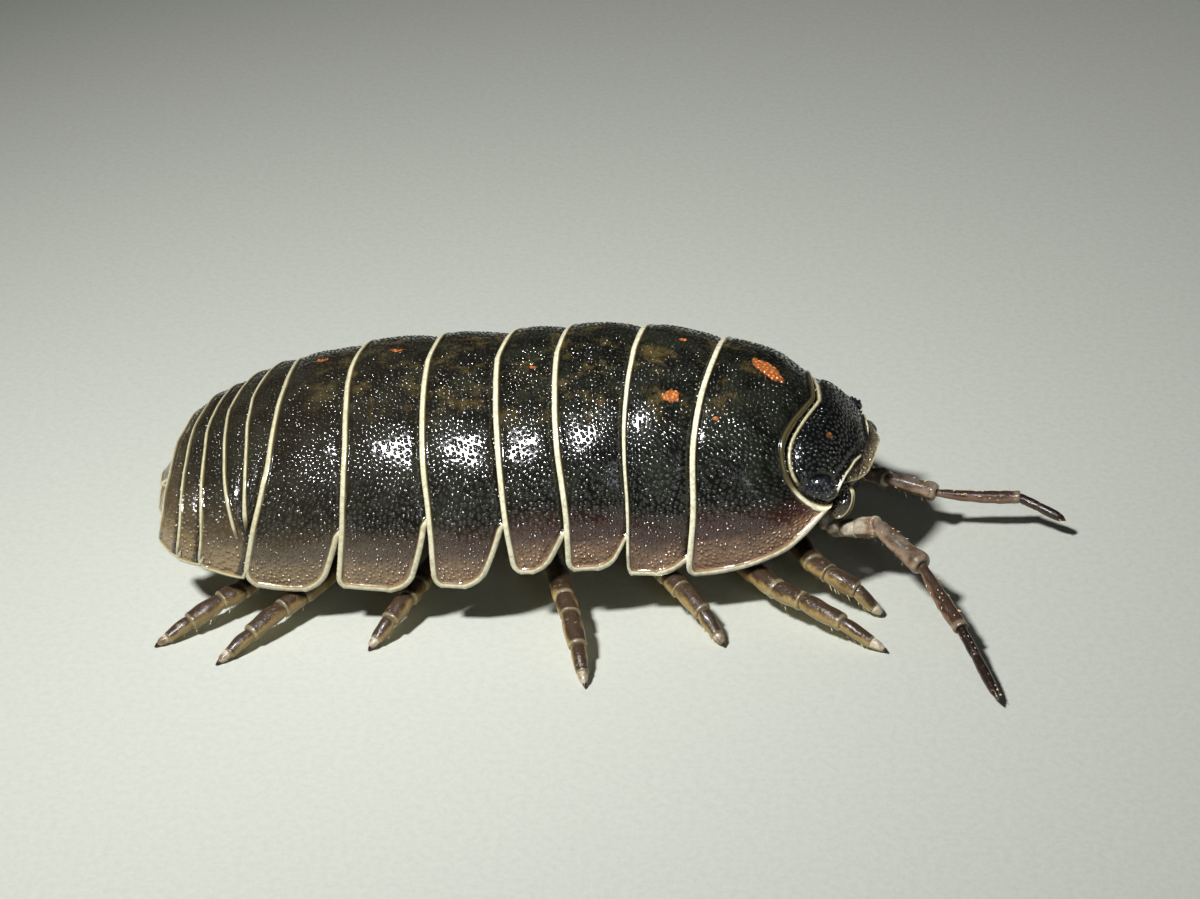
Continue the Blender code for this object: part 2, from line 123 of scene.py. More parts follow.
# How far a plate's front goes under the next one, how deep it lies there, and half the length of the dip
BODY_TUCK = 0.26
TAIL_TUCK = 0.16
TUCK_DEPTH = 0.11
TUCK_SLOPE = 0.22
# The tail plates are flatter and have thinner rims
TAIL_SWELL_SHARE = 0.6
TAIL_RIM_SHARE = 0.7
# A lobe stands this far off the body
LOBE_LIFT = 0.02
# The rim follows a body plate's front edge to this far above the lobe's free part
LOBE_RIM_REACH = 0.25
# The two short plates dip this far at their ends, over this angle
ARC_DIP = 0.10
ARC_DIP_ANGLE = 26.0
# The first plate draws in towards the head: on top, and further low down, between these angles
NECK_DRAW = 0.16
NECK_DRAW_LOW = 0.26
NECK_DRAW_ANGLES = (22.0, 60.0)
# The rim beside the head is this many times thinner, and fades by this share between these heights
HEAD_RIM_THINNESS = 1.35
HEAD_RIM_FADE = 0.72
HEAD_RIM_FADE_HEIGHTS = (2.5, 3.1)
# Groove in front of the rim
GROOVE_DEPTH = 0.012
# Grains on the low flank are taller by this share
FLANK_GRAIN_RISE = 0.6
# Points round a section, along an edge and along a lobe's tip
ARC_SAMPLES = 1441
EDGE_SAMPLES = 900
TIP_SAMPLES = 200
# Spacing of the points of the hidden inner sheet
INNER_SPACING = 0.09
# Front edge of the first plate, which hugs the head: angle up from the tip, place
P1_FRONT = (
    (0.0, 7.60),
    (14.0, 7.28),
    (23.0, 7.03),
    (34.0, 6.76),
    (45.0, 6.58),
    (56.0, 6.53),
    (67.0, 6.62),
    (78.0, 6.77),
    (90.0, 6.92),
)
P1_CORNER_HEIGHT = 2.15
P1_LOW_EDGE_START = 4.9

# Head: share from rear to front, place, half width, underside, top, bow of the rear edge
HEAD_STATIONS = (
    (0.00, 6.30, 1.60, 1.75, 3.35, 0.20),
    (0.10, 6.60, 1.86, 1.40, 3.58, 0.24),
    (0.22, 6.95, 1.92, 1.25, 3.63, 0.26),
    (0.45, 7.45, 1.86, 1.15, 3.28, 0.24),
    (0.68, 7.80, 1.60, 1.45, 2.82, 0.18),
    (0.86, 8.00, 1.20, 1.88, 2.48, 0.10),
    (0.95, 8.09, 0.82, 2.08, 2.37, 0.04),
    (1.00, 8.12, 0.42, 2.16, 2.30, 0.00),
)
JAW_TAPER = 0.3
HEAD_SEGMENTS = 520
HEAD_RINGS = 160
# Dent below the front line where a feeler is rooted, and the head's one orange fleck
FEELER_SOCKET = (7.86, 1.62, 2.12)
FEELER_SOCKET_DEPTH = 0.10
# Ridge past each eye and the furrow beside it, at this distance
RIDGE_HEIGHT = 0.06
FURROW_DEPTH = 0.03
FURROW_DISTANCE = 0.14
# Hem along the first plate: distance in front of that plate, height, and strength of its pale tone
HEM_DISTANCE = 0.10
HEM_HEIGHT = 0.05
HEM_TONE = 0.85
HEAD_FLECK = (7.40, -0.80, 3.25)
# Thin pale ridge from the shield down past the front of the eye
FRONT_LINE = (
    (8.00, -0.45, 2.50),
    (7.88, -0.79, 2.54),
    (7.77, -1.21, 2.49),
    (7.71, -1.41, 2.39),
    (7.66, -1.53, 2.28),
    (7.59, -1.62, 2.16),
    (7.45, -1.73, 2.15),
    (7.28, -1.78, 2.20),
)
# Upright shield across the forehead: foot and free edge, from the middle outwards
SHIELD_FOOT = (
    (8.06, 0.0, 2.44),
    (8.04, -0.22, 2.44),
    (7.98, -0.50, 2.46),
    (7.90, -0.79, 2.48),
    (7.80, -1.10, 2.44),
)
SHIELD_EDGE = (
    (8.30, 0.0, 2.52),
    (8.28, -0.35, 2.38),
    (8.18, -0.75, 2.24),
    (8.02, -1.05, 2.24),
    (7.88, -1.27, 2.32),
)
EYE_PLACE = (7.31, -1.80, 2.47)
EYE_FACING = (0.10, -0.92, 0.38)
# Half axes of the bare hollow round the eye, half axes of the dome of lenses, and how deep that is sunk
EYE_HOLLOW = (0.40, 0.40, 0.30)
EYE_DOME = (0.35, 0.25, 0.13)
EYE_SINK = 0.04
LENS_FIELD = (0.30, 0.215)
LENS_SPACING = 0.108
LENS_RADIUS = 0.047
# Height of a row of touching circles or grains, as a share of their spacing
ROW_SHARE = 0.866
BROW_LOBE_PLACE = (7.72, -1.53, 1.95)
BROW_LOBE_FACING = (0.14, -0.90, 0.40)
BROW_LOBE_RADII = (0.24, 0.36)

# Joints of each feeler's stalk and of its lash
FEELERS = {
    "right": (
        (
            (6.98, -1.25, 1.52), (7.20, -1.58, 1.06), (7.50, -1.74, 1.14), (7.84, -1.92, 1.24),
            (8.28, -2.10, 1.44), (9.28, -3.32, 1.19), (10.12, -4.95, 0.66),
        ),
        ((10.12, -4.95, 0.66), (10.45, -5.72, 0.44), (10.90, -6.95, 0.24)),
    ),
    "left": (
        (
            (7.36, 1.12, 1.50), (7.50, 1.20, 0.84), (7.74, 1.00, 0.92), (8.02, 0.72, 1.02),
            (8.45, 0.35, 1.10), (9.55, 0.02, 0.92), (11.42, 0.02, 0.76),
        ),
        ((11.42, 0.02, 0.76), (11.88, -0.22, 0.64), (12.46, -0.50, 0.45)),
    ),
}
# Articles of the stalk: shape, first and last radius, paleness, fluting, unevenness, bend,
# number of short hairs, number of long hairs
FEELER_ARTICLES = (
    ("stout", 0.20, 0.21, 0.95, 0.07, 0.10, 0.0, 0, 0),
    ("stout", 0.20, 0.22, 0.80, 0.07, 0.10, 0.0, 2, 0),
    ("stout", 0.22, 0.25, 0.62, 0.07, 0.10, 0.0, 3, 0),
    ("stout", 0.24, 0.26, 0.42, 0.07, 0.10, 0.0, 7, 4),
    ("fluted", 0.21, 0.25, 0.12, 0.07, 0.05, 0.0, 14, 5),
    ("club", 0.17, 0.18, 0.0, 0.02, 0.05, -0.03, 24, 0),
)
FAR_FEELER_SLIMNESS = 0.86
LASH_RADII = (0.115, 0.120, 0.125)
# Hairs of the lash: radii of its articles under the hairs, number, lean
LASH_HAIRS = ((0.11, 0.11, 12, 0.70), (0.12, 0.09, 20, 0.75))

# Right legs from head to tail: hip, knee, two points of the run outwards, foot
LEGS = (
    (
        (5.75, -1.55, 1.52), (5.85, -0.75, 1.05), (6.98, -2.95, 0.82),
        (7.72, -3.30, 0.62), (8.42, -3.62, 0.03),
    ),
    (
        (3.90, -1.85, 1.52), (4.05, -0.80, 1.02), (5.62, -3.05, 0.60),
        (7.15, -4.18, 0.52), (8.55, -4.98, 0.03),
    ),
    (
        (2.10, -1.90, 1.52), (2.25, -0.85, 1.02), (3.78, -3.20, 0.68),
        (4.45, -4.05, 0.50), (4.98, -4.72, 0.03),
    ),
    (
        (0.45, -1.90, 1.52), (0.50, -0.85, 1.02), (1.28, -3.35, 0.66),
        (1.72, -4.85, 0.52), (2.05, -6.20, 0.03),
    ),
    (
        (-1.10, -1.90, 1.52), (-1.20, -0.85, 1.00), (-2.15, -3.30, 0.50),
        (-2.45, -3.95, 0.42), (-2.97, -4.75, 0.03),
    ),
    (
        (-2.80, -1.90, 1.52), (-2.95, -0.85, 1.00), (-4.60, -3.10, 0.46),
        (-5.30, -4.00, 0.38), (-6.34, -5.25, 0.03),
    ),
    (
        (-4.50, -1.80, 1.50), (-4.70, -0.80, 0.98), (-6.05, -2.90, 0.46),
        (-6.75, -3.60, 0.38), (-7.90, -4.55, 0.03),
    ),
)
# A left leg mirrors the right one, with its foot moved by this and its other joints by a share of it
FAR_FOOT_SHIFT = ((-0.9, 0.1), (-1.5, -0.5), (0.3, 0.3), (-1.0, -0.9), (0.5, 0.4), (0.6, -0.3), (0.3, 0.2))
FAR_SHIFT_SHARES = (0.0, 0.0, 0.35, 0.7, 1.0)
HIP_RISE = 0.30
FOOT_HEIGHT = 0.03
# Joints outward of the knee as shares of the way to the foot, and how far each is raised
LEG_JOINTS = ((0.0, 0.0), (0.28, 0.0), (0.53, 0.04), (0.64, 0.06), (0.81, 0.04), (0.93, 0.0), (1.0, 0.0))
# Articles of a leg from the hip outwards: shape, first and last radius, what differs from a plain one
LEG_ARTICLES = (
    ("leg", 0.22, 0.27, {"overlap": 0.0, "pale": 0.6}),
    ("leg", 0.27, 0.30, {"pale": 0.6}),
    ("leg", 0.28, 0.27, {"pale": 0.35}),
    ("leg", 0.26, 0.26, {}),
    ("leg", 0.25, 0.25, {"overlap": 0.14}),
    ("leg", 0.235, 0.225, {"bend": 0.02}),
    ("leg", 0.190, 0.150, {"bend": 0.02}),
    ("toe", 0.125, 0.115, {"bend": 0.05, "overlap": 0.10, "claw": 1.0, "pale": 0.45}),
)
# Hairs of a leg: the joints they stand between, radii there, number, length, lean, spread round the limb
LEG_HAIRS = (
    (1, 2, 0.26, 0.26, 5, 0.14, 0.45, 0.8),
    (2, 3, 0.25, 0.24, 6, 0.15, 0.5, 0.8),
    (3, 4, 0.23, 0.21, 12, 0.15, 0.55, 0.9),
    (4, 5, 0.18, 0.15, 9, 0.12, 0.6, 0.9),
    (3, 5, 0.22, 0.16, 8, 0.09, 0.75, 3.0),
)
# Height of a limb's section as a share of its width, radius of a hair's root, least height of a hair
LIMB_FLATNESS = 0.92
HAIR_RADIUS = 0.013
HAIR_CLEARANCE = 0.02
# Spread of hairs that stand all round a limb, in radians to each side, and overlap of a stalk's articles
ALL_ROUND = 3.1
STALK_OVERLAP = 0.06

# Belly skin: front and rear end, and creases beside those at the plates' rear edges
BELLY_ENDS = (6.50, -7.95)
NECK_CREASES = (6.3, 5.5)
GILL_FLAPS = 5
# Jaw feet and palps of one side: place, half axes
MOUTH_PIECES = (
    ((7.10, 0.22, 0.98), (0.42, 0.20, 0.20)),
    ((7.36, 0.24, 1.06), (0.26, 0.17, 0.20)),
    ((7.30, 0.54, 1.12), (0.22, 0.15, 0.18)),
    ((7.50, 0.13, 1.14), (0.16, 0.12, 0.16)),
)
# Tail plate and tail leg: front edge, length, and a point that their upper sides face away from
TAIL_PLATE_FRONT = -7.80
TAIL_PLATE_LENGTH = 0.70
TAIL_LEG_FRONT = -7.86
TAIL_LEG_LENGTH = 0.52
TAIL_MIDDLE = (-7.6, 0.0, 0.0)

# Patches of bare orange skin: place on the back, length, width, turn in degrees, strength
FLECKS = (
    ((5.88, 0.12, 4.27), 0.52, 0.22, -35.0, 1.0),
    ((4.05, -1.35, 4.44), 0.24, 0.18, 20.0, 0.85),
    ((5.09, -1.65, 4.13), 0.14, 0.10, 0.0, 0.6),
    ((3.89, 0.57, 4.69), 0.16, 0.09, 10.0, 0.6),
    ((0.65, -0.48, 4.64), 0.12, 0.08, 0.0, 0.6),
    ((0.95, -0.55, 4.60), 0.09, 0.07, 0.0, 0.5),
    ((7.51, -0.79, 3.42), 0.09, 0.07, 0.0, 0.4),
    ((-2.61, 0.60, 4.46), 0.34, 0.16, 5.0, 0.55),
    ((-4.45, 0.80, 4.12), 0.40, 0.20, -10.0, 0.5),
    ((-1.00, 0.80, 4.51), 0.30, 0.14, 8.0, 0.45),
)

# Camera: eye in the body's axes, right, up and back directions, lens
CAMERA_EYE = (10.998, -58.841, 39.044)
CAMERA_RIGHT = (0.99143, 0.10139, -0.08241)
CAMERA_UP = (0.01595, 0.53210, 0.84653)
CAMERA_BACK = (0.12968, -0.84059, 0.52592)
CAMERA_LENS = 91.5
SENSOR_WIDTH = 36.0
FLOOR_WIDTH = 1.2
# Lights: place and diameter in millimetres, the setting that holds the power, colour
LIGHTS = (
    ("key_light", (-39.0, -21.0, 84.0), 13.0, "key_power", (1.0, 0.99, 0.97)),
    ("glint_light", (-9.0, -38.0, 87.0), 11.0, "glint_power", (0.97, 0.99, 1.0)),
    ("fill_light", (45.0, -75.0, 42.0), 26.0, "fill_power", (0.90, 0.95, 1.0)),
)
# The point of the floor that they aim at, in the body's axes
LIGHT_AIM = (0.0, -2.5, 0.0)
SIDES = ((-1.0, "right"), (1.0, "left"))
SMOOTH_ANGLE = 50.0

DETAIL = 1.0
RANDOM = np.random.default_rng(7)


# Numbers and places


def smooth_table(knots, values, place):
    """Values at places between knots, on a smooth curve through all of them."""
    knots = np.asarray(knots, float)
    values = np.asarray(values, float)
    slopes = np.gradient(values, knots)
    place = np.clip(np.asarray(place, float), knots[0], knots[-1])
    k = np.clip(np.searchsorted(knots, place, side="right") - 1, 0, len(knots) - 2)
    span = knots[k + 1] - knots[k]
    t = (place - knots[k]) / span
    start = (1 + 2 * t) * (1 - t) ** 2 * values[k] + t * (1 - t) ** 2 * span * slopes[k]
    end = t * t * (3 - 2 * t) * values[k + 1] + t * t * (t - 1) * span * slopes[k + 1]
    return start + end


def column_at(rows, column, place):
    """Value of one column of a table whose first column is the place."""
    return smooth_table([row[0] for row in rows], [row[column] for row in rows], place)


def ease(value, low, high):
    """Goes smoothly from 0 at low to 1 at high."""
    t = np.clip((np.asarray(value, float) - low) / (high - low), 0.0, 1.0)
    return t * t * (3 - 2 * t)


def half_width(x):
    """Half the body's width at a place along it."""
    return column_at(STATIONS, 1, x)


def ridge(x):
    """Height of the back at a place along the body."""
    return column_at(STATIONS, 2, x)


def turned(points):
    """Turns the front of the body a little to one side, as in the pose."""
    points = np.array(points, float)
    x = points[..., 0]
    share = ease(x, HEAD_TURN_START, HEAD_TURN_START + HEAD_TURN_SPAN)
    shift = -FRONT_SHIFT * share * np.clip((x - HEAD_TURN_START) / FRONT_SHIFT_SPAN, 0.0, 1.2)
    made = points.copy()
    made[..., 0] = x + HEAD_TURN * share * points[..., 1]
    made[..., 1] = points[..., 1] + shift
    return made


def row_frame(points):
    """From millimetres in the body's axes to metres in the row frame."""
    return (np.asarray(points, float) + SHIFT) * MM


def edge_place(edges, angle):
    """Place of a plate's edge at an angle up from the lower tip."""
    middle, shoulder, flank, tip = edges
    folded = np.minimum(angle, 180.0 - angle)
    return smooth_table((0.0, 20.0, 48.0, 90.0), (tip, flank, shoulder, middle), folded)


def lobe_low(name, x):
    """Height of a plate's lower edge at a place along it."""
    low = LOBES[name][0]
    if name == "pereonite_1":
        share = np.clip((x - P1_LOW_EDGE_START) / (P1_FRONT[0][1] - P1_LOW_EDGE_START), 0.0, 1.0)
        return low + (P1_CORNER_HEIGHT - low) * share ** 2.4
    behind = 1.0 - np.clip((x - REAR_EDGES[name][3]) / 1.5, 0.0, 1.0)
    return low + REAR_RISE.get(name, REAR_RISE_PLAIN) * behind**2


def shell_place(name, x, angle, lift):
    """Point of the shell at a place along it and an angle round it, lifted off it by some millimetres."""
    low = lobe_low(name, x)
    folded = np.radians(np.minimum(angle, 180.0 - angle))
    w = half_width(x) + lift
    top = ridge(x) + lift
    side = np.where(angle < 90.0, -1.0, 1.0)
    y = side * w * np.maximum(np.cos(folded), 0.0) ** SIDE_FULLNESS
    z = low + (top - low) * np.maximum(np.sin(folded), 0.0) ** TOP_FULLNESS
    return np.stack([x, y, z], -1)


def granules(a, b, spacing, radius):
    """Height from 0 to 1 of rounded grains that stand close together on a surface."""
    height = np.zeros_like(a)
    row = np.floor(b / (spacing * ROW_SHARE))
    for dy in (-1, 0, 1):
        r = row + dy
        offset = (np.mod(r, 2.0)) * 0.5
        column = np.floor(a / spacing - offset)
        for dx in (-1, 0, 1):
            c = column + dx
            n1 = np.mod(np.sin(c * 12.9898 + r * 78.233) * 43758.5453, 1.0)
            n2 = np.mod(np.sin(c * 39.346 + r * 11.135) * 24634.6345, 1.0)
            n3 = np.mod(np.sin(c * 73.156 + r * 52.235) * 13758.5453, 1.0)
            ca = (c + offset + 0.5 + (n1 - 0.5) * 0.62) * spacing
            cb = (r + 0.5 + (n2 - 0.5) * 0.62) * spacing * ROW_SHARE
            size = radius * (0.72 + 0.42 * n3)
            d2 = ((a - ca) ** 2 + (b - cb) ** 2) / size**2
            height = np.maximum(height, np.clip(1.0 - d2, 0.0, 1.0) * (0.6 + 0.4 * n3))
    return height


def nearest(points, line):
    """Distance of each point to the nearest of a dense row of points."""
    tree = KDTree(len(line))
    flat = np.zeros((len(line), 3))
    flat[:, : line.shape[1]] = line
    for k, place in enumerate(flat):
        tree.insert(place, k)
    tree.balance()
    asked = np.zeros((len(points), 3))
    asked[:, : points.shape[1]] = points
    return np.array([tree.find(place)[2] for place in asked])


def lumps(points, size, seed):
    """Smooth unevenness between about -1 and 1 over places in millimetres."""
    ways = np.random.default_rng(seed).normal(0.0, 1.0, (7, 3))
    ways /= np.linalg.norm(ways, axis=1)[:, None]
    total = np.zeros(len(points))
    for k, way in enumerate(ways):
        total += np.sin(points @ way * (2.0 * np.pi / size) * (0.7 + 0.13 * k) + 1.7 * k * seed)
    return total / 3.0


def scattered_grains(points, apart, radius):
    """Height from 0 to 1 of rounded grains set at random but evenly over a closed surface."""
    order = np.random.default_rng(11).permutation(len(points))
    cells = np.floor(points / apart).astype(int)
    taken, kept = {}, []
    near = [(i, j, k) for i in (-1, 0, 1) for j in (-1, 0, 1) for k in (-1, 0, 1)]
    for k in order:
        cell = tuple(cells[k])
        place = points[k]
        close = False
        for di, dj, dk in near:
            for other in taken.get((cell[0] + di, cell[1] + dj, cell[2] + dk), ()):
                step = place - other
                if step @ step < apart * apart:
                    close = True
                    break
            if close:
                break
        if not close:
            taken.setdefault(cell, []).append(place)
            kept.append(place)
    d = nearest(points, np.array(kept))
    return np.clip(1.0 - (d / radius) ** 2, 0.0, 1.0)


def grains_in_space(points, spacing, radius):
    """Height from 0 to 1 of rounded grains on a surface of any shape."""
    cell = np.floor(points / spacing)
    height = np.zeros(len(points))
    for dx in (-1, 0, 1):
        for dy in (-1, 0, 1):
            for dz in (-1, 0, 1):
                c = cell + np.array((dx, dy, dz))
                key = c[:, 0] * 12.9898 + c[:, 1] * 78.233 + c[:, 2] * 37.719 + 3.0
                jitter = np.stack([np.mod(np.sin(key + k * 4.1) * 43758.5453, 1.0) for k in range(3)], -1)
                middle = (c + 0.5 + (jitter - 0.5) * 0.7) * spacing
                d2 = ((points - middle) ** 2).sum(-1) / radius**2
                height = np.maximum(height, np.clip(1.0 - d2, 0.0, 1.0))
    return height


def dense_line(points, step=0.02):
    """Points close together along a polyline."""
    points = np.asarray(points, float)
    out = []
    for a, b in zip(points[:-1], points[1:]):
        count = max(int(np.linalg.norm(b - a) / step), 1)
        out.append(a + (b - a) * np.linspace(0, 1, count, endpoint=False)[:, None])
    out.append(points[-1:])
    return np.concatenate(out)


# Mesh tools


def clear_selection():
    """Leaves edit mode, with nothing selected."""
    if bpy.context.object and bpy.context.object.mode != "OBJECT":
        bpy.ops.object.mode_set(mode="OBJECT")
    bpy.ops.object.select_all(action="DESELECT")


def choose(obj):
    """Makes one object the only selected and the active one."""
    clear_selection()
    obj.select_set(True)
    bpy.context.view_layer.objects.active = obj


def edit_all(obj, step, **settings):
    """Runs one edit mode operator on a whole mesh."""
    choose(obj)
    bpy.ops.object.mode_set(mode="EDIT")
    bpy.ops.mesh.select_all(action="SELECT")
    step(**settings)
    bpy.ops.object.mode_set(mode="OBJECT")


def read_points(obj):
    """Places of a mesh's points."""
    co = np.empty(len(obj.data.vertices) * 3)
    obj.data.vertices.foreach_get("co", co)
    return co.reshape(-1, 3)


def write_points(obj, points):
    """Moves a mesh's points."""
    obj.data.vertices.foreach_set("co", np.ascontiguousarray(points, dtype=float).ravel())
    obj.data.update()


def read_normals(obj):
    """Directions in which a mesh's points face."""
    co = np.empty(len(obj.data.vertices) * 3)
    obj.data.vertex_normals.foreach_get("vector", co)
    return co.reshape(-1, 3)


def raise_surface(obj, height):
    """Moves each point outwards by its own height in millimetres."""
    write_points(obj, read_points(obj) + read_normals(obj) * height[:, None] * MM)


def grid(name, columns, rows):
    """A flat grid, and how far each of its points is along and across, from 0 to 1."""
    clear_selection()
    bpy.ops.mesh.primitive_grid_add(x_subdivisions=columns, y_subdivisions=rows, size=2.0)
    obj = bpy.context.object
    obj.name = name
    obj.data.name = name
    co = read_points(obj)
    return obj, (co[:, 0] + 1.0) / 2.0, (co[:, 1] + 1.0) / 2.0


def disc(u, v):
    """Presses a square grid into a disc of radius 1."""
    a, b = 2.0 * u - 1.0, 2.0 * v - 1.0
    return a * np.sqrt(1.0 - b * b / 2.0), b * np.sqrt(1.0 - a * a / 2.0)


def face_away(obj, middle):
    """Turns an open sheet's faces away from its middle."""
    points = read_points(obj)
    normals = read_normals(obj)
    if ((points - middle) * normals).sum() < 0:
        edit_all(obj, bpy.ops.mesh.flip_normals)


def add_layers(obj, **layers):
    """Stores a number at every point for the material, or one number for them all."""
    for name, values in layers.items():
        spread_out = np.broadcast_to(np.asarray(values, dtype=np.float32), len(obj.data.vertices))
        layer = obj.data.attributes.new(name, "FLOAT", "POINT")
        layer.data.foreach_set("value", np.ascontiguousarray(spread_out))


def thicken(obj, thickness):
    """Gives a sheet a thickness in millimetres, inwards."""
    choose(obj)
    step = obj.modifiers.new("solidify", "SOLIDIFY")
    step.thickness = thickness * MM
    step.offset = -1.0
    step.use_even_offset = False
    bpy.ops.object.modifier_apply(modifier=step.name)


def spin_profile(name, profile, steps):
    """A turned piece: a profile of (radius, height) spun once round the Z axis."""
    clear_selection()
    mesh = bpy.data.meshes.new(name)
    mesh.from_pydata([(r, 0.0, h) for r, h in profile], [(k, k + 1) for k in range(len(profile) - 1)], [])
    obj = bpy.data.objects.new(name, mesh)
    bpy.context.scene.collection.objects.link(obj)
    choose(obj)
    bpy.ops.object.mode_set(mode="EDIT")
    bpy.ops.mesh.select_all(action="SELECT")
    bpy.ops.mesh.spin(steps=steps, angle=2.0 * math.pi, center=(0, 0, 0), axis=(0, 0, 1))
    bpy.ops.mesh.select_all(action="SELECT")
    bpy.ops.mesh.remove_doubles(threshold=0.0005)
    bpy.ops.mesh.normals_make_consistent(inside=False)
    bpy.ops.object.mode_set(mode="OBJECT")
    return obj


def join(name, parts):
    """Joins objects into one."""
    clear_selection()
    for part in parts:
        part.select_set(True)
    bpy.context.view_layer.objects.active = parts[0]
    bpy.ops.object.join()
    obj = bpy.context.object
    obj.name = name
    obj.data.name = name
    return obj


def copy_of(template, name, points):
    """A copy with a mesh of its own, its points moved."""
    mesh = template.data.copy()
    obj = bpy.data.objects.new(name, mesh)
    bpy.context.scene.collection.objects.link(obj)
    write_points(obj, points)
    return obj


def basis(direction):
    """Three directions at right angles: level and across, upwards, and the given one."""
    run = Vector(direction).normalized()
    across = run.cross(Vector((0.0, 0.0, 1.0)))
    if across.length < 1e-4:
        across = run.cross(Vector((1.0, 0.0, 0.0)))
    across.normalize()
    over = across.cross(run).normalized()
    return np.array(across), np.array(over), np.array(run)


def finish_piece(obj, material, slot, *nodes):
    """Gives a piece its material and hides the solids it stands for. The slot is not used."""
    obj.data.materials.clear()
    obj.data.materials.append(material)
    choose(obj)
    bpy.ops.object.shade_smooth_by_angle(angle=math.radians(SMOOTH_ANGLE))
    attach(obj, "root")
    if nodes:
        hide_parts(*nodes)
    clear_selection()


# Materials


def linear(hex_colour):
    """Turns an sRGB hex colour to linear."""
    parts = [int(hex_colour[k : k + 2], 16) / 255.0 for k in (1, 3, 5)]
    return tuple(c / 12.92 if c <= 0.04045 else ((c + 0.055) / 1.055) ** 2.4 for c in parts) + (1.0,)


# Kinds of node. MIX has the share in socket 0 and the colours in 6 and 7. SHARE has the value in socket 0,
# its range in 1 and 2, and the range that it becomes in 3 and 4. MATH has the values in 0, 1 and 2.
NOISE = "ShaderNodeTexNoise"
MIX = "ShaderNodeMix"
MATH = "ShaderNodeMath"
SHARE = "ShaderNodeMapRange"
LAYER = "ShaderNodeAttribute"
BUMP = "ShaderNodeBump"


def add_node(tree, kind, links=None, **settings):
    """Adds a node. A link comes from an output, or from a node, which means its first working output."""
    made = tree.nodes.new(kind)
    if kind == MIX:
        made.data_type = "RGBA"
    if kind == SHARE:
        made.interpolation_type = "SMOOTHSTEP"
    for key, value in settings.items():
        setattr(made, key, value)
    for socket, source in (links or {}).items():
        if isinstance(source, bpy.types.Node):
            source = next(out for out in source.outputs if out.enabled)
        if isinstance(source, bpy.types.NodeSocket):
            tree.links.new(source, made.inputs[socket])
        else:
            made.inputs[socket].default_value = source
    return made


def blank_material(name, **shader):
    """A material with its surface's settings, and where a point lies in millimetres."""
    made = bpy.data.materials.new(name)
    made.use_nodes = True
    tree = made.node_tree
    surface = tree.nodes["Principled BSDF"]
    for key, value in shader.items():
        surface.inputs[key.replace("_", " ")].default_value = value
    coords = add_node(tree, "ShaderNodeTexCoord")
    # Object coordinates are metres; the patterns below are sized in millimetres
    sized = add_node(tree, "ShaderNodeMapping", {"Vector": coords.outputs["Object"], "Scale": [1.0 / MM] * 3})
    return made, tree, surface, sized.outputs["Vector"]


def wire(tree, surface, tone, bump=None):
    """Joins the finished colour and bump to the surface."""
    tree.links.new(tone.outputs[2], surface.inputs["Base Color"])
    if bump:
        tree.links.new(bump.outputs["Normal"], surface.inputs["Normal"])


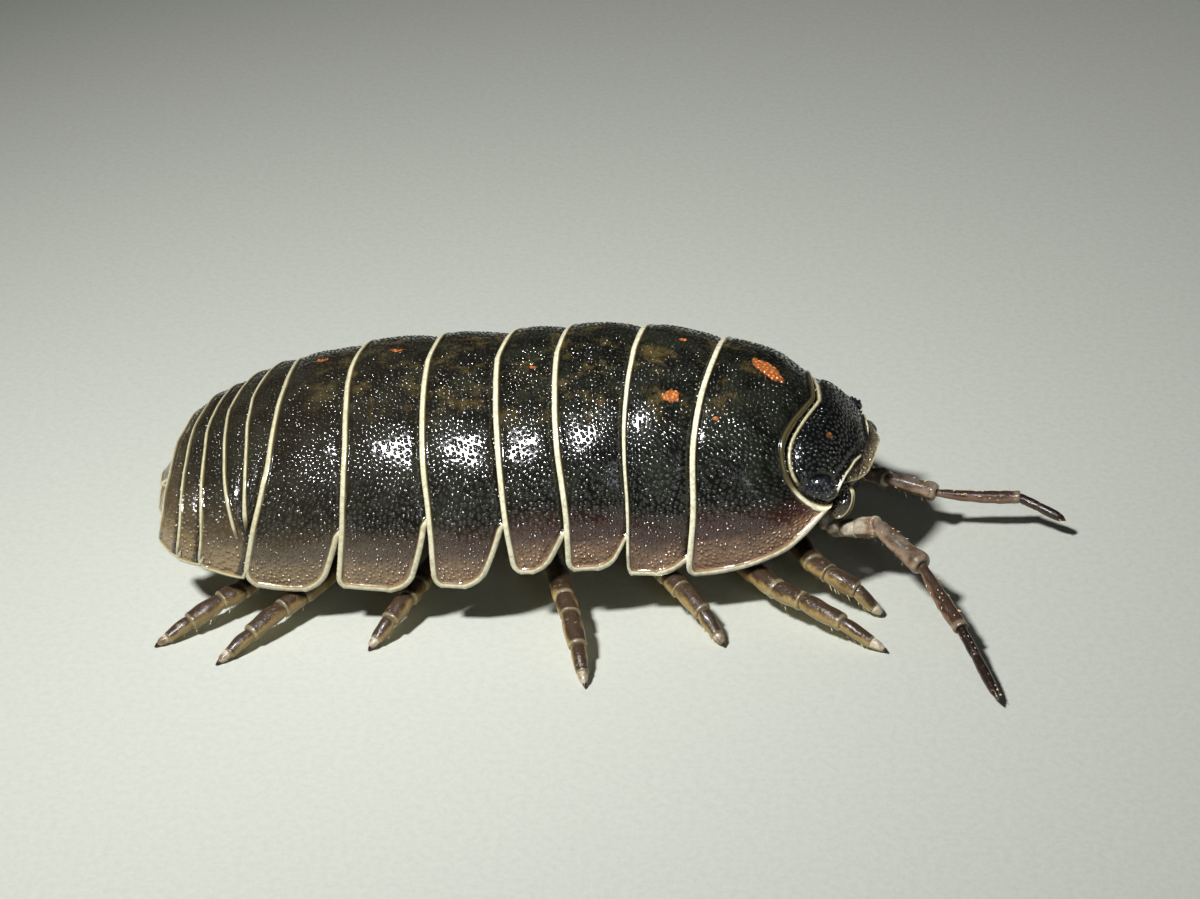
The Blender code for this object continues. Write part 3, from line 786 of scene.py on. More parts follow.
def cuticle(name, dark, lit, flank, tail, low, low_tail, rim, fleck, roughness):
    """Crustacean cuticle: lime-hardened chitin with a wax coat, so it is dark, glossy and finely grained."""
    made, tree, surface, where = blank_material(
        name, Roughness=roughness, IOR=1.56, Coat_Weight=0.7, Coat_Roughness=0.09, Specular_IOR_Level=0.5
    )
    names = ("rim", "grain", "flank", "fleck")
    layers = {key: add_node(tree, LAYER, attribute_name=key).outputs["Fac"] for key in names}
    # Mottling of the pigment, patches about 0.8 mm and 0.2 mm across
    wide = add_node(tree, NOISE, {"Vector": where, "Scale": 1.3, "Detail": 4.0, "Roughness": 0.6})
    fine = add_node(tree, NOISE, {"Vector": where, "Scale": 5.0, "Detail": 5.0, "Roughness": 0.65})
    cloud = add_node(tree, SHARE, {0: wide, 1: 0.40, 2: 0.68})
    tone = add_node(tree, MIX, {0: cloud, 6: linear(dark), 7: linear(lit)})
    # Ochre mottles along the middle of the back
    place = add_node(tree, "ShaderNodeSeparateXYZ", {"Vector": where})
    crest = add_node(tree, SHARE, {0: place.outputs["Z"], 1: 4.05, 2: 4.50})
    spots = add_node(tree, NOISE, {"Vector": where, "Scale": 1.7, "Detail": 6.0, "Roughness": 0.7})
    blotch = add_node(tree, SHARE, {0: spots, 1: 0.50, 2: 0.68, 4: 0.50})
    mottle = add_node(tree, MATH, {0: crest, 1: blotch}, operation="MULTIPLY")
    tone = add_node(tree, MIX, {0: mottle, 6: tone, 7: linear("#5e502c")})
    # The shell thins and turns from red-brown to olive towards the tail, and is palest at the lower edge
    rearward = add_node(tree, SHARE, {0: place.outputs["X"], 1: 1.0, 2: -9.0})
    behind = add_node(tree, MATH, {0: rearward, 1: 0.14}, operation="MULTIPLY")
    tone = add_node(tree, MIX, {0: behind, 6: tone, 7: linear(tail)})
    # The flank layer also carries painted shade along each plate's front seam, which keeps the flank dark
    # there
    side = add_node(tree, MATH, {0: fine, 1: 0.35, 2: layers["flank"]}, operation="MULTIPLY_ADD")
    thin = add_node(tree, MIX, {0: rearward, 6: linear(flank), 7: linear(tail)})
    thinnest = add_node(tree, MIX, {0: rearward, 6: linear(low), 7: linear(low_tail)})
    low_down = add_node(tree, SHARE, {0: side, 1: 0.40, 2: 0.98})
    tone = add_node(tree, MIX, {0: low_down, 6: tone, 7: thin})
    lowest = add_node(tree, SHARE, {0: side, 1: 0.90, 2: 1.26})
    tone = add_node(tree, MIX, {0: lowest, 6: tone, 7: thinnest})
    # Painted highlight: the tops of the grains are a little paler
    painted_grain_highlight = add_node(tree, MATH, {0: layers["grain"], 1: 0.10}, operation="MULTIPLY")
    tone = add_node(tree, MIX, {0: painted_grain_highlight, 6: tone, 7: linear("#6d665c")})
    # Patches of bare orange skin, ragged, with painted shade darkening the grooves between the grains
    crumb = add_node(tree, NOISE, {"Vector": where, "Scale": 6.5, "Detail": 4.0, "Roughness": 0.75})
    ragged = add_node(tree, MATH, {0: crumb, 1: 2.1, 2: -0.05}, operation="MULTIPLY_ADD")
    patch = add_node(tree, MATH, {0: layers["fleck"], 1: ragged}, operation="MULTIPLY")
    bare = add_node(tree, SHARE, {0: patch, 1: 0.42, 2: 0.50})
    groove = add_node(tree, SHARE, {0: layers["grain"], 1: 0.0, 2: 0.5, 3: 0.30, 4: 1.0})
    skin = add_node(tree, MIX, {0: groove, 6: linear("#5a3018"), 7: linear(fleck)})
    stained = add_node(tree, SHARE, {0: fine, 1: 0.5, 2: 0.7})
    skin = add_node(tree, MIX, {0: stained, 6: skin, 7: linear("#8a5a34")})
    tone = add_node(tree, MIX, {0: bare, 6: tone, 7: skin})
    # The thickened rim has almost no pigment, least of all below
    chalk = add_node(tree, NOISE, {"Vector": where, "Scale": 9.0, "Detail": 4.0, "Roughness": 0.7})
    worn = add_node(tree, SHARE, {0: chalk, 1: 0.42, 2: 0.66})
    edge = add_node(tree, MIX, {0: worn, 6: linear(rim), 7: linear("#aaa488")})
    ochre = add_node(tree, SHARE, {0: layers["rim"], 1: 0.55, 2: 1.0})
    edge = add_node(tree, MIX, {0: ochre, 6: linear("#7c6c42"), 7: edge})
    aged = add_node(tree, MATH, {0: rearward, 1: 0.55}, operation="MULTIPLY")
    edge = add_node(tree, MIX, {0: aged, 6: edge, 7: linear("#8f8662")})
    tone = add_node(tree, MIX, {0: layers["rim"], 6: tone, 7: edge})
    # The grains are steeper than the mesh can show. The pores are drawn coarser than they are, 0.04 mm apart.
    steep = add_node(tree, BUMP, {"Height": layers["grain"], "Strength": 1.0, "Distance": 0.000018})
    pores = add_node(tree, "ShaderNodeTexVoronoi", {"Vector": where, "Scale": 28.0}, feature="F1")
    dust = add_node(tree, NOISE, {"Vector": where, "Scale": 40.0, "Detail": 3.0})
    relief = add_node(tree, MATH, {0: dust, 1: 0.6, 2: pores.outputs["Distance"]}, operation="MULTIPLY_ADD")
    bump = add_node(tree, BUMP, {"Height": relief, "Strength": 0.12, "Distance": 0.000008, "Normal": steep})
    wire(tree, surface, tone, bump)
    rough = add_node(tree, MATH, {0: fine, 1: 0.16, 2: roughness - 0.08}, operation="MULTIPLY_ADD")
    tree.links.new(rough.outputs[0], surface.inputs["Roughness"])
    return made


def limb_cuticle(name, dark, light, under, cuff, roughness, through):
    """Thin cuticle of a limb: less lime than the shell, so it lets some light through and shows amber."""
    made, tree, surface, where = blank_material(
        name, Roughness=roughness, IOR=1.50, Coat_Weight=0.25, Coat_Roughness=0.18, Subsurface_Weight=through,
        Subsurface_Radius=(0.0004, 0.0003, 0.00018), Subsurface_Scale=0.5,
    )
    names = ("upper", "cuff", "claw", "pale")
    layers = {key: add_node(tree, LAYER, attribute_name=key).outputs["Fac"] for key in names}
    blotch = add_node(tree, NOISE, {"Vector": where, "Scale": 3.2, "Detail": 5.0, "Roughness": 0.65})
    speck = add_node(tree, NOISE, {"Vector": where, "Scale": 9.0, "Detail": 4.0})
    # Dark along the top, amber at the sides and almost clear below
    side = add_node(tree, MATH, {0: blotch, 1: 0.8, 2: layers["upper"]}, operation="MULTIPLY_ADD")
    amber = add_node(tree, SHARE, {0: side, 1: 0.42, 2: 0.80})
    tone = add_node(tree, MIX, {0: amber, 6: linear(under), 7: linear(light)})
    topmost = add_node(tree, SHARE, {0: side, 1: 0.95, 2: 1.28})
    tone = add_node(tree, MIX, {0: topmost, 6: tone, 7: linear(dark)})
    spots = add_node(tree, SHARE, {0: speck, 1: 0.60, 2: 0.80, 4: 0.35})
    tone = add_node(tree, MIX, {0: spots, 6: tone, 7: linear(cuff)})
    joints = add_node(tree, MATH, {0: layers["cuff"], 1: 0.22}, operation="MULTIPLY")
    tone = add_node(tree, MIX, {0: joints, 6: tone, 7: linear(cuff)})
    stained = add_node(tree, SHARE, {0: blotch, 1: 0.42, 2: 0.62})
    clear = add_node(tree, MIX, {0: stained, 6: linear("#ddd4bd"), 7: linear("#8a7056")})
    tone = add_node(tree, MIX, {0: layers["pale"], 6: tone, 7: clear})
    tone = add_node(tree, MIX, {0: layers["claw"], 6: tone, 7: linear("#1c110b")})
    relief = add_node(tree, NOISE, {"Vector": where, "Scale": 18.0, "Detail": 4.0})
    wire(tree, surface, tone, add_node(tree, BUMP, {"Height": relief, "Strength": 0.5, "Distance": 0.00003}))
    return made


def soft_skin(name, light, dark, scale, through):
    """Unhardened skin between plates: matt, pale and a little wrinkled, with light going into it."""
    made, tree, surface, where = blank_material(
        name, Roughness=0.48, IOR=1.45, Subsurface_Weight=through,
        Subsurface_Radius=(0.0006, 0.0004, 0.0003), Subsurface_Scale=0.6,
    )
    cloud = add_node(tree, NOISE, {"Vector": where, "Scale": scale, "Detail": 5.0, "Roughness": 0.6})
    thick = add_node(tree, SHARE, {0: cloud, 1: 0.35, 2: 0.70})
    tone = add_node(tree, MIX, {0: thick, 6: linear(light), 7: linear(dark)})
    folds = add_node(tree, NOISE, {"Vector": where, "Scale": scale * 6.0, "Detail": 4.0})
    wire(tree, surface, tone, add_node(tree, BUMP, {"Height": folds, "Strength": 0.5, "Distance": 0.00003}))
    return made


def eye_lens(name):
    """Clear corneal lenses over black pigment: near black with a hard wet gloss."""
    made, tree, surface, where = blank_material(
        name, Roughness=0.22, IOR=1.56, Coat_Weight=1.0, Coat_Roughness=0.10
    )
    cloud = add_node(tree, NOISE, {"Vector": where, "Scale": 8.0, "Detail": 2.0})
    wire(tree, surface, add_node(tree, MIX, {0: cloud, 6: linear("#060607"), 7: linear("#1b1d24")}))
    return made


def bristle_chitin(name):
    """Setae of clear amber chitin: pale, thin and shiny."""
    made, tree, surface, where = blank_material(name, Roughness=0.35, IOR=1.52)
    cloud = add_node(tree, NOISE, {"Vector": where, "Scale": 6.0})
    wire(tree, surface, add_node(tree, MIX, {0: cloud, 6: linear("#a48a5e"), 7: linear("#d8c79c")}))
    return made


def floor_look(colour):
    """Matt painted board: a fine tooth and no gloss."""
    made, tree, surface, where = blank_material("matt painted board", Roughness=0.85, Specular_IOR_Level=0.2)
    tooth = add_node(tree, NOISE, {"Vector": where, "Scale": 6.0, "Detail": 6.0, "Roughness": 0.7})
    hollow = add_node(tree, SHARE, {0: tooth, 1: 0.35, 2: 0.7})
    base = tuple(colour) + (1.0,)
    lower = tuple(c * 0.93 for c in colour) + (1.0,)
    tone = add_node(tree, MIX, {0: hollow, 6: base, 7: lower})
    wire(tree, surface, tone, add_node(tree, BUMP, {"Height": tooth, "Strength": 0.25, "Distance": 0.00005}))
    return made


def stock(name, build, **look):
    """The material of that name, made the first time it is asked for."""
    return bpy.data.materials.get(name) or build(name, **look)


def shell_look():
    """Glossy black-brown plates, red-brown low down, with chalky rims."""
    return stock(
        "dark limy cuticle", cuticle, dark="#0a0b08", lit="#1c1e17", flank="#351d17", tail="#463b2b",
        low="#84654b", low_tail="#7c694b", rim="#d2cdb2", fleck="#cf7a40", roughness=0.18,
    )


def head_look():
    """The same cuticle, blacker and without the paler flank."""
    return stock(
        "dark limy cuticle of head", cuticle, dark="#060709", lit="#10130f", flank="#241a15", tail="#241a15",
        low="#4f4636", low_tail="#4f4636", rim="#c4c0a2", fleck="#7c4a2c", roughness=0.20,
    )


def leg_look():
    """Legs dark above and clear amber below."""
    return stock(
        "thin amber cuticle", limb_cuticle, dark="#33251a", light="#8c7548", under="#dcd3ac", cuff="#beb28a",
        roughness=0.34, through=0.22,
    )


def feeler_look():
    """Stalks of a duller brown."""
    return stock(
        "thin brown cuticle", limb_cuticle, dark="#33231b", light="#6e5340", under="#a08a6c", cuff="#b0a084",
        roughness=0.32, through=0.2,
    )


def lash_look():
    """Lashes nearly black."""
    return stock(
        "dark brown cuticle", limb_cuticle, dark="#1a110e", light="#33231b", under="#4a382b", cuff="#7b6650",
        roughness=0.32, through=0.1,
    )


def skin_look():
    """Skin of the belly and the mouthparts."""
    return stock("soft body skin", soft_skin, light="#b7a88c", dark="#8b7a62", scale=1.6, through=0.3)


def gill_look():
    """Paler and thinner skin of the gill flaps."""
    return stock("thin gill skin", soft_skin, light="#d6cdb6", dark="#a69a80", scale=2.4, through=0.45)


def hair_look():
    """Hairs of the legs and the feelers."""
    return stock("amber bristle chitin", bristle_chitin)


# Pieces


def plate_edges(name, front_edges, at):
    """Front edge as it shows and where it slips under the next plate, rear edge, and height over the tip."""
    fall_back, corner, reach, slant, turn_share = LOBES[name][1:]
    folded = np.minimum(at, 180.0 - at)
    if name == "pereonite_1":
        front = column_at(P1_FRONT, 1, folded)
    else:
        front = edge_place(front_edges, at)
    rear = edge_place(REAR_EDGES[name], at)
    middle = 0.5 * (front + rear)
    height = shell_place(name, middle, at, 0.0)[..., 2] - lobe_low(name, middle)
    span = front - rear
    if fall_back:
        down = np.clip(1.0 - height / reach, 0.0, 1.0)
        turn = np.clip((down - 1.0 + turn_share) / turn_share, 0.0, 1.0)
        fall = slant * down**1.15 + (1.0 - slant) * (1.0 - np.sqrt(1.0 - turn**2))
        front = front - span * fall_back * fall
    round_off = 1.0 - np.sqrt(1.0 - np.clip(1.0 - height / (corner * 1.3), 0.0, 1.0) ** 2)
    rear = rear + min(corner, 0.3 * span.max() + 0.05) * round_off
    if name == "pereonite_1":
        return front, front, rear, height
    if name.startswith("pleonite"):
        return front, front + TAIL_TUCK, rear, height
    return front, front + BODY_TUCK * ease(height, 0.88 * reach, reach + 0.16), rear, height


def plate_sheet(name, front_edges, spacing, depth, sizes):
    """One side of a plate: a grid laid on the body, with how far each point is across and behind."""
    start = ARC_START.get(name, 0.0)
    first = name == "pereonite_1"
    tail = name.startswith("pleonite")
    angles = np.linspace(start, 180.0 - start, ARC_SAMPLES)
    front_x, rear_x = P1_FRONT[-1][1] if first else front_edges[0], REAR_EDGES[name][0]
    middle_x = 0.5 * (front_x + rear_x)
    curve = shell_place(name, np.full_like(angles, middle_x), angles, 0.0)
    arc = np.concatenate([[0.0], np.cumsum(np.linalg.norm(np.diff(curve, axis=0), axis=1))])
    columns = max(int((front_x - rear_x + 0.3) / spacing), 8)
    rows = int(arc[-1] / spacing)
    obj, u, v = grid(name, columns, rows)
    # The rows are a little closer at both lower edges
    v = 0.8 * v + 0.2 * (0.5 - 0.5 * np.cos(np.pi * v))
    angle = np.interp(v * arc[-1], arc, angles)
    across = v * arc[-1]
    folded = np.minimum(angle, 180.0 - angle)
    front, tucked, rear, height = plate_edges(name, front_edges, angle)
    reach = LOBES[name][3]
    x = tucked + (rear - tucked) * u
    behind = front - x
    share = np.clip(behind / (front - rear), 0.0, 1.0)
    most_swell = sizes.plate_swell * (TAIL_SWELL_SHARE if tail else 1.0)
    swell = 4.0 * share * (1.0 - share) * most_swell * ease(height, 0.1, 1.2)
    lobe = 1.0 - ease(height, 0.7 * reach, reach + 0.30)
    if first:
        drawn = NECK_DRAW + NECK_DRAW_LOW * (1.0 - ease(folded, *NECK_DRAW_ANGLES))
        narrow = drawn * (1.0 - ease(behind, 0.0, 1.0)) ** 1.5
        lift = sizes.plate_step * ease(u, 0.45, 1.0) - narrow
    else:
        tuck = -TUCK_DEPTH + TUCK_DEPTH * ease(behind, -TUCK_SLOPE, TUCK_SLOPE)
        lift = tuck + sizes.plate_step * ease(u, 0.45, 1.0)
        lift = lift * (1.0 - lobe) + LOBE_LIFT * lobe
    if start:
        lift = lift - ARC_DIP * (1.0 - ease(folded, start, start + ARC_DIP_ANGLE))
    write_points(obj, row_frame(turned(shell_place(name, x, angle, lift + swell - depth))))
    face_away(obj, row_frame((middle_x, 0.0, 1.0)))
    return obj, x, angle, across, height, behind


def bridge_rims(name, outer, inner):
    """Joins an outer and an inner sheet along their free edges into one closed plate."""
    edit_all(inner, bpy.ops.mesh.flip_normals)
    obj = join(name, [outer, inner])
    choose(obj)
    bpy.ops.object.mode_set(mode="EDIT")
    bpy.ops.mesh.select_mode(type="EDGE")
    bpy.ops.mesh.select_all(action="DESELECT")
    bpy.ops.mesh.select_non_manifold(
        extend=False, use_wire=False, use_boundary=True, use_multi_face=False, use_non_contiguous=False,
        use_verts=False,
    )
    bpy.ops.mesh.bridge_edge_loops()
    bpy.ops.object.mode_set(mode="OBJECT")
    return obj


def rim_lines(name, front_edges):
    """The edge that carries the rim, and the front edge, each as a dense row of points."""
    start = ARC_START.get(name, 0.0)
    at = np.linspace(start, 180.0 - start, EDGE_SAMPLES)
    _, front, rear, height = plate_edges(name, front_edges, at)
    free = height < LOBES[name][3] + (0.0 if name.startswith("pleonite") else LOBE_RIM_REACH)
    line = [shell_place(name, rear, at, 0.0), shell_place(name, front[free], at[free], 0.0)]
    if start == 0.0:
        for k in (0, -1):
            tip = np.linspace(rear[k], front[k], TIP_SAMPLES)
            line.append(shell_place(name, tip, np.full(TIP_SAMPLES, at[k]), 0.0))
    return np.concatenate(line), shell_place(name, front, at, 0.0)


def fleck_mark(plain):
    """Strength of the bare orange patches at each point."""
    mark = np.zeros(len(plain))
    for place, long, wide, turn, strength in FLECKS:
        d = plain - np.array(place)
        c, s = math.cos(math.radians(turn)), math.sin(math.radians(turn))
        a = (c * d[:, 0] + s * d[:, 1]) / long
        b = (-s * d[:, 0] + c * d[:, 1]) / wide
        mark = np.maximum(mark, strength * np.exp(-(a * a + b * b + (d[:, 2] / 0.6) ** 2)))
    return mark


def shell_plate(name, front_edges, sizes):
    """One ring of the shell with its side lobes, pale raised rim and grains."""
    first = name == "pereonite_1"
    start = ARC_START.get(name, 0.0)
    outer, x, angle, across, height, behind = plate_sheet(
        name, front_edges, sizes.mesh_spacing / DETAIL, 0.0, sizes
    )
    plain = shell_place(name, x, angle, 0.0)
    rim_line, front_line = rim_lines(name, front_edges)
    gap = nearest(plain, rim_line)
    width = sizes.rim_width * (TAIL_RIM_SHARE if name.startswith("pleonite") else 1.0)
    if first:
        beside = nearest(plain, front_line) * HEAD_RIM_THINNESS
        gap = np.minimum(gap, beside)
    rim = 1.0 - ease(gap, width * 0.72, width)
    fade = 1.0
    if start:
        fade = ease(np.minimum(angle, 180.0 - angle), start, start + ARC_FADE)
        rim = rim * fade
    if first:
        # Beside the head it is almost as dark as the shell
        darker = 1.0 - HEAD_RIM_FADE * ease(plain[:, 2], *HEAD_RIM_FADE_HEIGHTS)
        rim = rim * np.where(beside <= gap, darker, 1.0)
    half = width * 0.5
    bead = np.sqrt(np.clip(1.0 - ((gap - half) / half) ** 2, 0.0, 1.0)) * (gap < width) * fade
    groove = np.exp(-(((gap - width * 1.3) / (width * 0.3)) ** 2))
    # The rows of grains wander, and stop at the groove
    slant = x + 0.13 * np.sin(across * 1.7) + 0.05 * np.sin(across * 4.1)
    grain = granules(across, slant, sizes.grain_spacing, sizes.grain_spacing * 0.33)
    grain = grain * ease(gap, width, width * 1.3)
    flank = 1.0 - ease(height, 0.2, 2.4)
    grain_rise = sizes.grain_height * grain * (1.0 + FLANK_GRAIN_RISE * flank)
    raised = sizes.rim_height * bead - GROOVE_DEPTH * groove + grain_rise
    # Swells about 1.1 mm and 0.4 mm long
    raised += 0.010 * lumps(plain, 1.1, 5) + 0.004 * lumps(plain, 0.4, 9) * (1.0 - rim)
    raise_surface(outer, raised)
    # Painted shade: at the seam with the plate before, the flank is kept nearly as dark as the back
    low_down = flank * (0.3 + 0.7 * ease(behind, 0.0, 0.16))
    add_layers(outer, rim=rim, grain=grain, flank=low_down, fleck=fleck_mark(plain) * (1.0 - rim))
    inner = plate_sheet(name, front_edges, INNER_SPACING / DETAIL, sizes.plate_thickness, sizes)[0]
    add_layers(inner, rim=0.35, grain=0.0, flank=0.8, fleck=0.0)
    return bridge_rims(name, outer, inner)


def head_point(t, around):
    """Point of the head at a share of its length and an angle round it."""
    x, w, low, top, bow = (column_at(HEAD_STATIONS, k, t) for k in range(1, 6))
    rear = np.sqrt(np.clip(1.0 - np.clip(1.0 - t / 0.06, 0.0, 1.0) ** 2, 0.0, 1.0))
    fore = np.sqrt(np.clip(1.0 - np.clip((t - 0.93) / 0.07, 0.0, 1.0) ** 2, 0.0, 1.0))
    close = rear * fore
    c, s = np.cos(around), np.sin(around)
    y = w * np.sign(c) * np.abs(c) ** 0.8 * (1.0 - JAW_TAPER * np.maximum(-s, 0.0)) * close
    z = 0.5 * (top + low) + 0.5 * (top - low) * s * close
    return np.stack([x - bow * (y / w) ** 2, y, z], -1)


def shell_angle(points):
    """Angle round the shell's section, up from the lower tip, at which a point inside it lies."""
    top = ridge(points[:, 0])
    low = lobe_low("pereonite_1", points[:, 0])
    rise = np.clip((points[:, 2] - low) / (top - low), 0.0, 1.0) ** (1.0 / TOP_FULLNESS)
    out = np.clip(np.abs(points[:, 1]) / half_width(points[:, 0]), 0.0, 1.0) ** (1.0 / SIDE_FULLNESS)
    return np.degrees(np.arctan2(rise, out))


def head_capsule(sizes):
    """The head: grained, with a ridge past each eye and a hem along the first plate."""
    clear_selection()
    segments, rings = int(HEAD_SEGMENTS * DETAIL), int(HEAD_RINGS * DETAIL)
    bpy.ops.mesh.primitive_uv_sphere_add(segments=segments, ring_count=rings, radius=1.0)
    obj = bpy.context.object
    obj.name = obj.data.name = "head_capsule"
    co = read_points(obj)
    # The sphere's top becomes the front of the head
    t = 1.0 - np.arccos(np.clip(co[:, 2], -1.0, 1.0)) / np.pi
    around = np.arctan2(co[:, 1], co[:, 0])
    # The mesh is closer on the top and front, where the grains show
    t = t + 0.25 * np.sin(np.pi * t) / np.pi
    around = around + 0.5 * np.cos(around)
    plain = head_point(t, around)
    write_points(obj, row_frame(turned(plain)))
    edit_all(obj, bpy.ops.mesh.normals_make_consistent, inside=False)
    rim = np.zeros(len(t))
    bare = np.ones(len(t))
    raised = 0.02 * lumps(plain, 1.0, 4)
    for side in (1.0, -1.0):
        line = dense_line([(x, side * -y, z) for x, y, z in FRONT_LINE])
        d = nearest(plain, line)
        low = 1.0 - ease(plain[:, 2], 2.15, 2.45)
        rim = np.maximum(rim, 1.0 - ease(d, 0.026 + 0.012 * low, 0.046 + 0.016 * low))
        below = plain - np.array((FEELER_SOCKET[0], side * FEELER_SOCKET[1], FEELER_SOCKET[2]))
        raised += RIDGE_HEIGHT * np.exp(-((d / 0.040) ** 2))
        raised -= FURROW_DEPTH * np.exp(-(((d - FURROW_DISTANCE) / 0.06) ** 2))
        raised -= FEELER_SOCKET_DEPTH * np.exp(-((below / 0.20) ** 2).sum(-1))
        eye = np.array((EYE_PLACE[0], side * -EYE_PLACE[1], EYE_PLACE[2]))
        e = np.sqrt((((plain - eye) / np.array(EYE_HOLLOW)) ** 2).sum(-1))
        raised += -0.03 * np.exp(-(((e - 1.0) / 0.15) ** 2)) - 0.04 * (1.0 - ease(e, 0.7, 1.0))
        bare = np.minimum(bare, ease(e, 1.05, 1.25))
    # Raised pale hem just in front of the first plate's rim, from the eyes over the top
    front = column_at(P1_FRONT, 1, shell_angle(plain))
    hem = plain[:, 0] - front - HEM_DISTANCE
    over = ease(plain[:, 2], 2.45, 2.75)
    rim = np.maximum(rim, HEM_TONE * (1.0 - ease(np.abs(hem), 0.030, 0.050)) * over)
    raised += HEM_HEIGHT * np.exp(-((hem / 0.05) ** 2)) * over
    raised -= 0.015 * np.exp(-(((hem - 0.12) / 0.05) ** 2)) * over
    upper = ease(plain[:, 2] + 0.5 * (8.2 - plain[:, 0]), 2.20, 2.45)
    grain = scattered_grains(plain, sizes.grain_spacing * 0.84, sizes.grain_spacing * 0.36)
    grain = grain * (1.0 - rim) * upper * bare
    raised += sizes.grain_height * grain
    raise_surface(obj, raised)
    spot = np.exp(-(((plain - np.array(HEAD_FLECK)) / 0.13) ** 2).sum(-1))
    add_layers(obj, rim=rim, grain=grain, flank=0.8 * (1.0 - ease(plain[:, 2], 1.2, 2.0)), fleck=0.70 * spot)
    return obj


def shield_plate():
    """The brim across the front of the head, with a pale free edge."""
    obj, u, v = grid("frontal_shield", int(150 * DETAIL) + 8, int(20 * DETAIL) + 6)
    side = (u - 0.5) * 2.0
    run = np.abs(side) ** 0.9 * (len(SHIELD_FOOT) - 1)
    knots = np.arange(len(SHIELD_FOOT))
    foot = np.stack([smooth_table(knots, [p[k] for p in SHIELD_FOOT], run) for k in range(3)], -1)
    edge = np.stack([smooth_table(knots, [p[k] for p in SHIELD_EDGE], run) for k in range(3)], -1)
    foot[:, 0] -= 0.10
    plain = foot + (edge - foot) * v[:, None]
    plain[:, 2] += 0.05 * np.sin(np.pi * v)
    plain[:, 1] *= -np.sign(side)
    write_points(obj, row_frame(turned(plain)))
    face_away(obj, row_frame((7.8, 0.0, 1.0)))
    grain = grains_in_space(plain, 0.09, 0.05) * ease(0.97 - v, 0.0, 0.05)
    raise_surface(obj, 0.020 * grain + 0.02 * ease(v, 0.75, 0.9))
    edge_tone = 0.16 * ease(v, 0.35, 0.70) + 0.62 * ease(v, 0.84, 0.93)
    add_layers(obj, rim=edge_tone, grain=grain, flank=0.5 + 0.6 * v, fleck=0.0)
    thicken(obj, 0.08)
    return obj


def brow_lobe(side):
    """The ear-like flap in front of the eye: grained, hollow above, with a pale edge in front and below."""
    obj, u, v = grid("brow_lobe", int(64 * DETAIL) + 6, int(72 * DETAIL) + 6)
    dx, dy = disc(u, v)
    r = np.sqrt(dx * dx + dy * dy)
    across, over, run = basis((BROW_LOBE_FACING[0], side * -BROW_LOBE_FACING[1], BROW_LOBE_FACING[2]))
    fore = dx * np.sign(across[0])
    hollow = np.exp(-(((dx - 0.1 * np.sign(across[0])) / 0.38) ** 2) - ((dy - 0.45) / 0.36) ** 2)
    depth = 0.07 * (1.0 - r**2) - 0.13 * hollow + 0.045 * ease(r, 0.80, 0.92) - 0.16 * ease(-fore, 0.2, 1.0)
    middle = np.array((BROW_LOBE_PLACE[0], side * -BROW_LOBE_PLACE[1], BROW_LOBE_PLACE[2]))
    lean = 0.09 * np.sign(across[0]) * dy
    wide, high = dx * BROW_LOBE_RADII[0] + lean, dy * BROW_LOBE_RADII[1]
    plain = middle + wide[:, None] * across + high[:, None] * over + depth[:, None] * run
    write_points(obj, row_frame(turned(plain)))
    face_away(obj, row_frame(turned(middle - run * 3.0)))
    grain = granules(dx, dy, 0.26, 0.10) * (r < 0.78) * (1.0 - hollow)
    raise_surface(obj, 0.014 * grain)
    edge_tone = ease(r, 0.84, 0.92) * ease(fore - 0.5 * dy, -0.15, 0.35)
    low_down = (0.5 + 0.75 * ease(-dy, -0.3, 0.6)) * (1.0 - hollow)
    add_layers(obj, rim=edge_tone, grain=grain, flank=low_down, fleck=0.0)
    thicken(obj, 0.10)
    return obj


def compound_eye(side, name):
    """A low dome packed with rows of round lenses."""
    across, over, run = basis((EYE_FACING[0], side * -EYE_FACING[1], EYE_FACING[2]))
    middle = np.array((EYE_PLACE[0], side * -EYE_PLACE[1], EYE_PLACE[2])) - EYE_SINK * run
    long, high, deep = EYE_DOME
    clear_selection()
    bpy.ops.mesh.primitive_uv_sphere_add(segments=32, ring_count=20, radius=1.0)
    dome = bpy.context.object
    co = read_points(dome)
    plain = middle + co[:, :1] * long * across + co[:, 1:2] * high * over + co[:, 2:] * deep * run
    write_points(dome, row_frame(turned(plain)))
    clear_selection()
    bpy.ops.mesh.primitive_uv_sphere_add(segments=14, ring_count=9, radius=1.0)
    lens = bpy.context.object
    bead = read_points(lens)
    parts = [dome]
    for row in range(-2, 3):
        for column in range(-3, 4):
            a = (column + 0.5 * (row % 2)) * LENS_SPACING
            b = row * LENS_SPACING * ROW_SHARE
            inside = (a / LENS_FIELD[0]) ** 2 + (b / LENS_FIELD[1]) ** 2
            if inside > 1.05:
                continue
            centre = middle + a * across + b * over + deep * math.sqrt(1.0 - 0.8 * min(inside, 1.0)) * run
            round_lens = bead[:, :1] * across + bead[:, 1:2] * over + bead[:, 2:] * run * 0.9
            parts.append(copy_of(lens, "lens", row_frame(turned(centre + round_lens * LENS_RADIUS))))
    bpy.data.objects.remove(lens)
    return join(name, parts)


